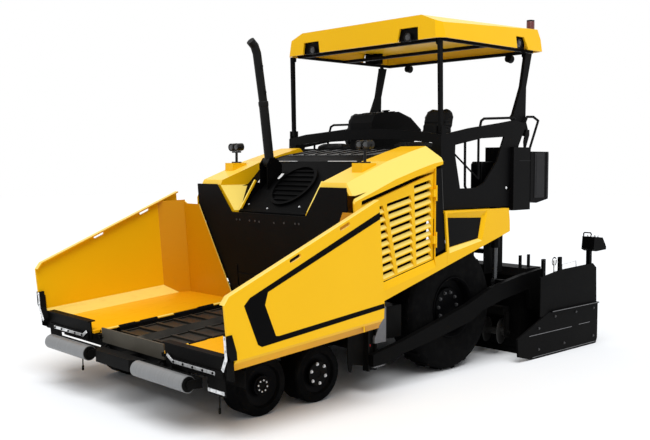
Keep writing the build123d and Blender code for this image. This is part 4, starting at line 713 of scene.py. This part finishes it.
# ------------------------------
# Exhaust: a long silencer tube that narrows to a tail pipe, bent over at its tip; heat-proof black paint.
# A collar covers the joint, and two small lugs stand on its outer side.
exhaust_black, wire = new_finish("exhaust_black", (0.004, 0.004, 0.004), 0.55, shine=0.12)
soot = wire.noise(30.0, 4.0)
wire.feed("Roughness", soot * 0.3 + 0.35)
wire.feed("Base Color", wire.mix(soot, (0.003, 0.003, 0.003, 1), (0.008, 0.008, 0.008, 1)))
wire.relief(wire.noise(400.0), 0.0002)
dress(exhaust_black, "exhaust_stack")
foot, neck, bend = Vector((0.680, -0.445, 2.215)), Vector((0.764, -0.445, 2.850)), Vector((0.852, -0.445, 3.385))
collar = draw_out("exhaust_collar", [(0.050, -0.030), (0.0555, -0.024), (0.0555, 0.020), (0.050, 0.026)], 28)
settle(collar, aimed(neck, neck - foot))
lugs = []
for share in (0.22, 0.73):
    lug = cut_plate("exhaust_lug", [(-0.007, y, z) for y, z in (
        (0.040, -0.030), (0.066, -0.022), (0.072, 0.0), (0.066, 0.022), (0.040, 0.030))], (0.014, 0, 0), None, 0.003)
    lugs.append(settle(lug, Matrix.Translation(neck + (bend - neck) * share)))
fit(smooth(join("exhaust_fittings", [collar, *lugs])), exhaust_black, "exhaust")

# ------------------------------
# Work lamps on the shells' front corners: a pair of round lamps each, with pressed rims and ribbed lenses.
# Each stands on the shell in a black bracket, and a bent yoke holds it.
lamp_black = black_paint("lamp_black", 0.4, 0.0, tone=0.004, shine=0.2)
dress(lamp_black, "work_lamps")
lens_grey, wire = new_finish("lens_grey", (0.05, 0.05, 0.055), 0.16, metal=0.5, coat=0.3)
stripes = wire.node("ShaderNodeTexWave", {"bands_direction": "Y"}, {"Vector": wire.place(), "Scale": 30.0})
wire.feed("Base Color", wire.mix(stripes, (0.015, 0.015, 0.016, 1), (0.07, 0.072, 0.075, 1)))
wire.relief(stripes, 0.001)


def lamp_front(name, radius, at, toward, body):
    """The rim and the bulging lens of a round lamp."""
    rim = turn_ring(name + "_rim", [(radius * 0.80, 0, -0.002), (radius * 1.04, 0, -0.002), (radius * 1.04, 0, 0.008),
                                    (radius * 0.95, 0, 0.013), (radius * 0.84, 0, 0.010)], (0, 0, 0), (0, 0, 1), 32)
    lens = draw_out(name + "_lens", [(radius * 0.86, -0.001), (radius * 0.84, 0.004), (radius * 0.66, 0.009),
                                     (radius * 0.40, 0.012), (radius * 0.12, 0.0135)], 32)
    for piece, finish in ((rim, lamp_black), (lens, lens_grey)):
        settle(piece, aimed(at, toward))
        fit(smooth(piece, 40), finish, body)


for side, way in sides:
    for place, y in (("inner", 0.979), ("outer", 1.071)):
        lamp_front("work_lamp_%s_%s" % (place, side), 0.043, (0.7295, way * y, 2.384), (1, 0, -0.07), "tractor")
        loop = bend_rod("work_lamp_yoke_%s_%s" % (place, side), [(0.690, way * (y + shift), z) for shift, z in (
            (-0.049, 2.390), (-0.047, 2.350), (-0.02, 2.330), (0.02, 2.330), (0.047, 2.350), (0.049, 2.390))], 0.005)
        fit(loop, lamp_black, "tractor")

# ------------------------------
# Bodywork: yellow side shells with louvred doors, and fenders with a black inset panel.
# The doors close with a flush latch; a grey rod along the dark column behind them is a painted highlight of the
# column's edge.
dress(body_yellow, *both("side_shell", "grille_door", "rear_fender"))
panel_black = black_paint("panel_black", 0.35, 0.0, tone=0.0012, shine=0.05)
seal_grey, wire = new_finish("seal_grey", (0.05, 0.05, 0.05), 0.6, shine=0.2)
wire.feed("Base Color", wire.mix(wire.noise(40.0), (0.035, 0.035, 0.035, 1), (0.07, 0.07, 0.07, 1)))
guard_grey, wire = new_finish("guard_grey", (0.11, 0.11, 0.115), 0.45, metal=0.3)
wire.feed("Base Color", wire.mix(wire.noise(9.0, 4.0), (0.085, 0.086, 0.09, 1), (0.15, 0.15, 0.155, 1)))
reflector_red, wire = new_finish("reflector_red", (0.60, 0.01, 0.008), 0.2, coat=0.4)
wire.feed("Roughness", wire.noise(90.0) * 0.2 + 0.1)


def hang(side, way, name, y, depth, rounding, steps, finish, body, outline):
    """Cuts one side's plate, with its inner face at y, and fits it."""
    sheet = side_plate(name + side, way * y, outline, way * depth, None, rounding, steps)
    fit(sheet, finish, body)


for side, way in sides:
    hang(side, way, "fender_panel_", 1.2282, 0.003, 0.001, 2, panel_black, "tractor",
         [(-0.326, 1.634), (-0.356, 1.319), (-0.866, 1.389), (-0.919, 1.612)])
    # grey rod that stands for the painted highlight along the column's edge
    seal = bend_rod("column_edge_highlight_" + side, [(-0.219, way * 1.2465, 2.150), (-0.250, way * 1.2465, 1.722)], 0.0035)
    fit(seal, seal_grey, "tractor")
    hang(side, way, "fender_backing_", 1.150, 0.006, 0.001, 2, panel_black, "tractor",
         [(-0.270, 1.390), (-0.480, 1.390), (-0.480, 1.705), (-0.270, 1.705)])
    hang(side, way, "door_latch_", 1.2380, 0.008, 0.003, 3, panel_black, "grille_door_" + side,
         [(0.900, 1.150), (0.945, 1.140), (0.945, 1.170), (0.900, 1.180)])

for side, way in sides:
    # grey cover on the side tank, black guard sheet in front of it, and a red reflector
    hang(side, way, "tank_cover_", 1.2420, 0.030, 0.003, 2, guard_grey, "tractor",
         [(0.640, 0.812), (0.672, 0.812), (0.700, 0.700), (0.800, 0.520), (0.800, 0.468), (0.640, 0.468)])
    hang(side, way, "wheel_guard_", 1.200, 0.008, 0.002, 2, chassis_black, "tractor",
         [(1.105, 0.640), (1.105, 0.310), (1.090, 0.230), (1.055, 0.215), (1.040, 0.290), (0.860, 0.250),
          (0.860, 0.640)])
    dot = draw_out("reflector_" + side, [(0.014, -0.002), (0.014, 0.004), (0.010, 0.007), (0.004, 0.008)], 20)
    settle(dot, aimed((0.838, way * 1.235, 0.452), (0, way, 0)))
    fit(smooth(dot), reflector_red, "tractor")

for side, way in sides:
    # cheek beside the hood's front slope, with a yellow lip
    hang(side, way, "hood_cheek_", 0.540, 0.006, 0.001, 2, hood_black, "tractor",
         [(0.800, 2.008), (1.000, 1.712), (0.968, 1.706), (0.700, 1.962)])
    hang(side, way, "hood_lip_", 0.533, 0.020, 0.003, 2, body_yellow, "tractor",
         [(0.792, 2.010), (0.814, 2.024), (1.020, 1.716), (0.996, 1.708)])

# ------------------------------
# Operator's stand: black powder-coated sheet with its posts and rails.
# The lockers behind it have lighter doors with pressed edges, and a bright latch closes its side.
stand_black = black_paint("stand_black", 0.5, 0.0, tone=0.0022, shine=0.05, grain=0.0002)
dress(stand_black, "operator_platform", "handrails", "front_posts", "rear_posts")
locker_grey = black_paint("locker_grey", 0.5, 0.0, tone=0.013, shine=0.12, grain=0.0002)
door_low, door_high = 1.800, 2.325


def locker_plate(name, way, front, rear):
    """A door or an edge strip of the locker, between two places along the machine."""
    return side_plate(name, way * 1.2502, [(front, door_low), (rear, door_low), (rear, door_high),
                                           (front, door_high)], way * 0.006, None, 0.0025)


for side, way in sides:
    door = locker_plate("locker_door_" + side, way, -1.905, -2.105)
    only(door)
    bpy.ops.object.mode_set(mode="EDIT")
    bpy.ops.mesh.select_mode(type="FACE")
    mesh = bmesh.from_edit_mesh(door.data)
    for face in mesh.faces:
        face.select = face.normal.y * way > 0.99 and face.calc_area() > 0.05
    bpy.ops.mesh.inset(thickness=0.022)
    bpy.ops.mesh.inset(thickness=0.006, depth=0.004)
    bpy.ops.object.mode_set(mode="OBJECT")
    edge = locker_plate("locker_edge_" + side, way, -2.155, -2.190)
    fit(join("locker_door_" + side, [door, edge]), locker_grey, "tractor")
    strip = side_plate("locker_strip_" + side, way * 1.2462, [(-1.600, 2.228), (-1.822, 2.228), (-1.822, 2.234),
                                                              (-1.600, 2.234)], way * 0.003)
    fit(strip, locker_grey, "tractor")
    knob = draw_out("stand_latch_" + side, [(0.016, -0.001), (0.016, 0.006), (0.011, 0.012), (0.006, 0.014)], 16)
    settle(knob, aimed((-1.416, way * 1.2002, 1.925), (0, way, 0)))
    fit(smooth(knob), bolt_zinc, "tractor")

chest_outline = [(-1.075, 1.902), (-1.075, 2.190), (-1.100, 2.222), (-1.440, 2.222), (-1.470, 2.190), (-1.470, 1.902)]
for side, way in sides:
    # low chest beside the seat, and the rods that stiffen the stand's opening
    chest = side_plate("side_chest_" + side, way * 0.960, chest_outline, way * 0.150, None, 0.012, 3)
    fit(chest, panel_black, "tractor")
    rods = [bend_rod("stand_rod", [(-0.790, way * 1.180, 1.905), (-0.715, way * 1.186, 1.912),
                                   (-0.680, way * 1.190, 1.960), (-0.676, way * 1.190, 2.445)], 0.014),
            bend_rod("stand_rod", [(-0.912, way * 1.190, 2.030), (-0.912, way * 1.190, 2.470)], 0.014),
            bend_rod("stand_rod", [(-0.490, way * 1.190, 2.305), (-0.915, way * 1.190, 2.030)], 0.010)]
    fit(smooth(join("stand_rods_" + side, rods)), stand_black, "tractor")

# ------------------------------
# Console: the driving desk between the seats, moulded in soft black plastic over its steel stem.
# On its top lies a control plate with rows of keys, a round steering dial and a joystick.
console_black = black_paint("console_black", 0.5, 0.0, tone=0.0015, shine=0.05, grain=0.0003)
dress(console_black, "console")
desk_tilt = Vector((0.046, 0, 0.401)).normalized()
desk = aimed((-0.560, 0, 2.777), desk_tilt)
plate = cut_plate("control_plate", [(x, y, -0.002) for x, y in ((-0.17, -0.13), (0.17, -0.13), (0.17, 0.13),
                                                                (-0.17, 0.13))], (0, 0, 0.012), desk, 0.004, 3)
fit(plate, panel_black, "tractor")
keys = []
for row in range(3):
    for column in range(5):
        spot = desk @ Matrix.Translation((-0.12 + column * 0.034, -0.095 + row * 0.03, 0.0095))
        keys.append(cut_plate("key", [(-0.012, -0.009, 0), (0.012, -0.009, 0), (0.012, 0.009, 0), (-0.012, 0.009, 0)],
                              (0, 0, 0.006), spot, 0.002))
fit(join("control_keys", keys), locker_grey, "tractor")
dial = draw_out("steering_dial", [(0.030, 0.009), (0.030, 0.016), (0.044, 0.017), (0.046, 0.024), (0.040, 0.029),
                                  (0.012, 0.030)], 24)
settle(dial, desk @ Matrix.Translation((0.09, 0.06, 0)))
fit(smooth(dial), console_black, "tractor")
stick = draw_out("joystick", [(0.024, 0.009), (0.020, 0.016), (0.009, 0.020), (0.013, 0.026), (0.013, 0.034),
                              (0.006, 0.037)], 16)
settle(stick, desk @ Matrix.Translation((-0.02, 0.075, 0)))
fit(smooth(stick), console_black, "tractor")

# ------------------------------
# Seats: two sprung driver's seats, with deep foam pads in black leatherette on pressed steel pans.
# Each pad is blown out against its seams by cloth simulation and lies flat on its pan or back plate.
dress(stand_black, "seat_frames")
leatherette, wire = new_finish("leatherette", (0.004, 0.004, 0.0042), 0.55, shine=0.12)
grain = wire.node("ShaderNodeTexVoronoi", {}, {"Vector": wire.place(), "Scale": 420.0})
rubbed = wire.noise(7.0, 4.0)
wire.feed("Base Color", wire.mix(rubbed.ramp(0.4, 0.7), (0.0025, 0.0025, 0.0028, 1), (0.006, 0.006, 0.0062, 1)))
wire.feed("Roughness", rubbed * 0.2 + 0.42)
wire.relief(grain, 0.0006)


pad_step = 0.006
pad_pressure = 4.0
pad_moments = 20


def fill_out(piece, cap):
    """Blows a pad's cover out against its seams, and moves no point of it further than the cap."""
    only(piece)
    even = piece.modifiers.new("even", "REMESH")
    even.mode = "VOXEL"
    even.voxel_size = pad_step
    bpy.ops.object.modifier_apply(modifier=even.name)
    rest = [point.co.copy() for point in piece.data.vertices]
    cover = piece.modifiers.new("cover", "CLOTH")
    cover.settings.use_pressure = True
    cover.settings.uniform_pressure_force = pad_pressure
    cover.settings.effector_weights.gravity = 0.0
    for moment in range(1, pad_moments + 1):
        scene.frame_set(moment)
    bpy.ops.object.modifier_apply(modifier=cover.name)
    scene.frame_set(1)
    for point, start in zip(piece.data.vertices, rest):
        shift = point.co - start
        if shift.length > cap:
            point.co = start + shift.normalized() * cap
    return piece


pad_cap = 0.024
pan_top = 2.3306
cushion_top = 2.39
seam_width = 0.009
seat_y = 0.62
back_foot = Vector((-0.872, 0, 2.335))
back_front = Vector((0.370, 0, 0.088)).normalized()
cushion = side_plate("seat_cushion", -0.215, [(-0.782, 2.352), (-0.395, 2.352), (-0.372, 2.378), (-0.392, 2.416),
                                              (-0.60, 2.404), (-0.782, 2.402)], 0.43, None, 0.022, 3)
fill_out(cushion, pad_cap)
for point in cushion.data.vertices:
    point.co.z = max(point.co.z, pan_top)
    # two sewn channels across the cushion
    for seam_x in (-0.50, -0.66):
        if point.co.z > cushion_top:
            point.co.z -= 0.007 * math.exp(-((point.co.x - seam_x) / seam_width) ** 2)
up_back = Matrix(((0, -back_front.z, back_front.x, back_foot.x), (1, 0, 0, 0),
                  (0, back_front.x, back_front.z, back_foot.z), (0, 0, 0, 1)))
backrest = cut_plate("seat_back", [(across, up, 0.004) for across, up in (
    (-0.180, 0.085), (0.180, 0.085), (0.206, 0.120), (0.212, 0.290), (0.204, 0.400), (0.172, 0.462), (0.110, 0.492),
    (-0.110, 0.492), (-0.172, 0.462), (-0.204, 0.400), (-0.212, 0.290), (-0.206, 0.120))],
    (0, 0, 0.062), up_back, 0.018, 3)
fill_out(backrest, pad_cap)
# the back is pressed flat on its plate, and has two sewn channels as well
for point in backrest.data.vertices:
    behind = (point.co - back_foot).dot(back_front) - 0.0006
    if behind < 0:
        point.co -= back_front * behind
    for seam_z in (2.535, 2.655):
        if behind > 0.02:
            point.co -= back_front * 0.006 * math.exp(-((point.co.z - seam_z) / seam_width) ** 2)
for name, pad in (("cushion", cushion), ("back", backrest)):
    only(pad)
    finer = pad.modifiers.new("finer", "SUBSURF")
    finer.levels = 1
    finer.render_levels = 1
    bpy.ops.object.modifier_apply(modifier=finer.name)
    for side, way in sides:
        piece = pad
        if side == "right":
            only(pad)
            bpy.ops.object.duplicate(linked=False)
            piece = bpy.context.object
        piece.name = "seat_%s_%s" % (name, side)
        # the right pad is copied from the left one, which already stands at its seat
        settle(piece, Matrix.Translation((0, way * seat_y * (1 if side == "left" else 2), 0)))
        fit(smooth(piece, 60), leatherette, "tractor")
        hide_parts("seat_pads")

# ------------------------------
# Roof: one folded and welded yellow shell on a black tube frame, with lamps in its notches.
# A red warning beacon turns on the stalk behind it.
dress(body_yellow, "roof_shell")
dress(stand_black, "roof_frame")
for side, way in sides:
    lamp_front("roof_lamp_front_" + side, 0.046, (-0.2405, way * 0.750, 3.538), (1, 0, -0.13), "roof")
    lamp_front("roof_lamp_flank_" + side, 0.050, (-1.650, way * 1.1838, 3.558), (0, way, -0.17), "roof")
    lamp_front("roof_lamp_rear_" + side, 0.046, (-2.0475, way * 0.800, 3.446), (-1, 0, -0.1), "roof")
beacon_red, wire = new_finish("beacon_red", (0.12, 0.003, 0.002), 0.12, coat=0.4)
flutes = wire.node("ShaderNodeTexWave", {"bands_direction": "Z"}, {"Vector": wire.place(), "Scale": 40.0})
wire.feed("Base Color", wire.mix(flutes, (0.05, 0.001, 0.001, 1), (0.17, 0.004, 0.003, 1)))
wire.relief(flutes, 0.001)
beacon = draw_out("beacon_lens", [(0.047, 3.770), (0.0475, 3.850), (0.0475, 3.872), (0.045, 3.886), (0.038, 3.896),
                                  (0.022, 3.902), (0.006, 3.904)], 32)
settle(beacon, Matrix.Translation((-2.154, 1.000, 0)))
fit(smooth(beacon, 40), beacon_red, "roof")

# ------------------------------
# Screed with its tow arms, walkway, extensions and end plates, painted black.
# The end plates carry control boxes with knobs, hand wheels and bright worn edges; each arm has a toothed step.
screed_black = black_paint("screed_black", 0.5, 0.1, tone=0.0012, shine=0.03)
dark_chrome, wire = new_finish("dark_chrome", (0.06, 0.062, 0.065), 0.25, metal=0.8)
wire.feed("Roughness", wire.noise(20.0, 3.0) * 0.2 + 0.15)
dress(dark_chrome, "lift_rods")
dress(screed_black, "tow_arms", "screed_body", *both("screed_extension", "end_plate"))
tread_grey, wire = new_finish("tread_grey", (0.05, 0.05, 0.052), 0.5, metal=0.5, shine=0.3)
diamonds = wire.node("ShaderNodeTexVoronoi", {"feature": "DISTANCE_TO_EDGE"}, {
    "Vector": wire.stretch((1.0, 0.5, 1.0)), "Scale": 45.0})
wire.feed("Base Color", wire.mix(diamonds.ramp(0.05, 0.2), (0.09, 0.09, 0.095, 1), (0.03, 0.03, 0.031, 1)))
wire.relief(diamonds, 0.001)
dress(tread_grey, "screed_walkway")
scale_grey, wire = new_finish("scale_grey", (0.16, 0.16, 0.17), 0.5, metal=0.3)
wire.feed("Base Color", wire.mix(wire.noise(12.0), (0.12, 0.12, 0.125, 1), (0.22, 0.22, 0.225, 1)))
guard_face, plate_face = 1.5562, 1.5302
wheel_radius = 0.045
bolt_places = [(-1.62, 0.34), (-1.95, 0.44), (-2.40, 0.44), (-2.80, 0.44), (-2.80, 0.10), (-2.15, 0.10),
               (-1.62, 0.10)]
for side, way in sides:
    # bright worn edges of the guard rail and of the plate's rib and foot
    strips = []
    for x0, x1, y, low, high in (
            (-1.856, -2.884, guard_face, 0.503, 0.509), (-1.430, -2.310, plate_face, 0.270, 0.276),
            (-2.465, -2.715, plate_face, 0.276, 0.282), (-1.50, -2.84, plate_face, 0.020, 0.026)):
        strips.append(side_plate("worn_strip", way * y, [(x0, low), (x0, high), (x1, high), (x1, low)], way * 0.002))
    fit(join("end_plate_edges_" + side, strips), scale_grey, "extension_" + side)
    # control box: keys, knobs and a hand rail
    lid = aimed((-2.793, way * 1.5025, 1.309), (-0.095, 0, 0.995))
    knobs = []
    for row in range(2):
        for column in range(3):
            knob = draw_out("knob", [(0.011, -0.002), (0.011, 0.008), (0.008, 0.010), (0.007, 0.020),
                                     (0.004, 0.021)], 14)
            knobs.append(settle(knob, lid @ Matrix.Translation((-0.055 + column * 0.05, -0.035 + row * 0.07, 0.0))))
    fit(smooth(join("panel_knobs_" + side, knobs)), bolt_zinc, "extension_" + side)
    guard = bend_rod("panel_guard_" + side, [(x, way * 1.436, z) for x, z in (
        (-2.700, 1.290), (-2.700, 1.350), (-2.720, 1.362), (-2.860, 1.350), (-2.880, 1.330), (-2.880, 1.27))], 0.008)
    fit(guard, screed_black, "extension_" + side)
    # height spindle with its hand wheel, and the thin rail behind it
    hub = Vector((-1.960, way * 1.500, 1.072))
    stem = draw_out("height_spindle", [(0.011, 0), (0.011, 0.150), (0.017, 0.152), (0.017, 0.176),
                                       (0.010, 0.178)], 14)
    settle(stem, Matrix.Translation((hub.x, hub.y, hub.z - 0.165)))
    ring = turn_ring("hand_wheel", [(hub.x + wheel_radius + 0.007 * math.cos(turn), hub.y,
                                     hub.z + 0.007 * math.sin(turn)) for turn in six_turns],
                     tuple(hub), (0, 1, 0), 32)
    spokes = [bend_rod("spoke", [tuple(hub), (hub.x + wheel_radius * math.cos(turn), hub.y,
                                              hub.z + wheel_radius * math.sin(turn))], 0.005)
              for turn in (0.5, 2.6, 4.7)]
    fit(smooth(join("hand_wheel_" + side, [stem, ring, *spokes])), bar_steel, "extension_" + side)
    rail = bend_rod("plate_rail_" + side, [(x, way * 1.505, z) for x, z in (
        (-2.120, 0.940), (-2.120, 1.025), (-2.420, 1.045), (-2.430, 0.950))], 0.006)
    fit(rail, bar_steel, "extension_" + side)
    # bolts of the end plate, sunk a little in its face
    heads = repeat("end_plate_bolts_" + side, bolt_head(0.012, 0.012), [
        aimed((x, way * (plate_face - 0.0004), z), (0, way, 0)) for x, z in bolt_places])
    fit(heads, dark_zinc, "extension_" + side)
    # toothed step on the arm's foot
    tread = cut_plate("arm_step_" + side, [(x, way * y, z) for x, y, z in (
        (0.720, 1.300, 0.2685), (0.880, 1.300, 0.2615), (0.880, 1.334, 0.2615), (0.720, 1.334, 0.2685))],
        (0, 0, -0.006), None, 0.001)
    teeth = repeat("step_teeth", bolt_head(0.007, 0.006), [
        aimed((0.735 + place * 0.026, way * 1.3335, 0.2645 - place * 0.0011), (0, way, 0)) for place in range(6)])
    fit(join("arm_step_" + side, [tread, teeth]), scale_grey, "screed")
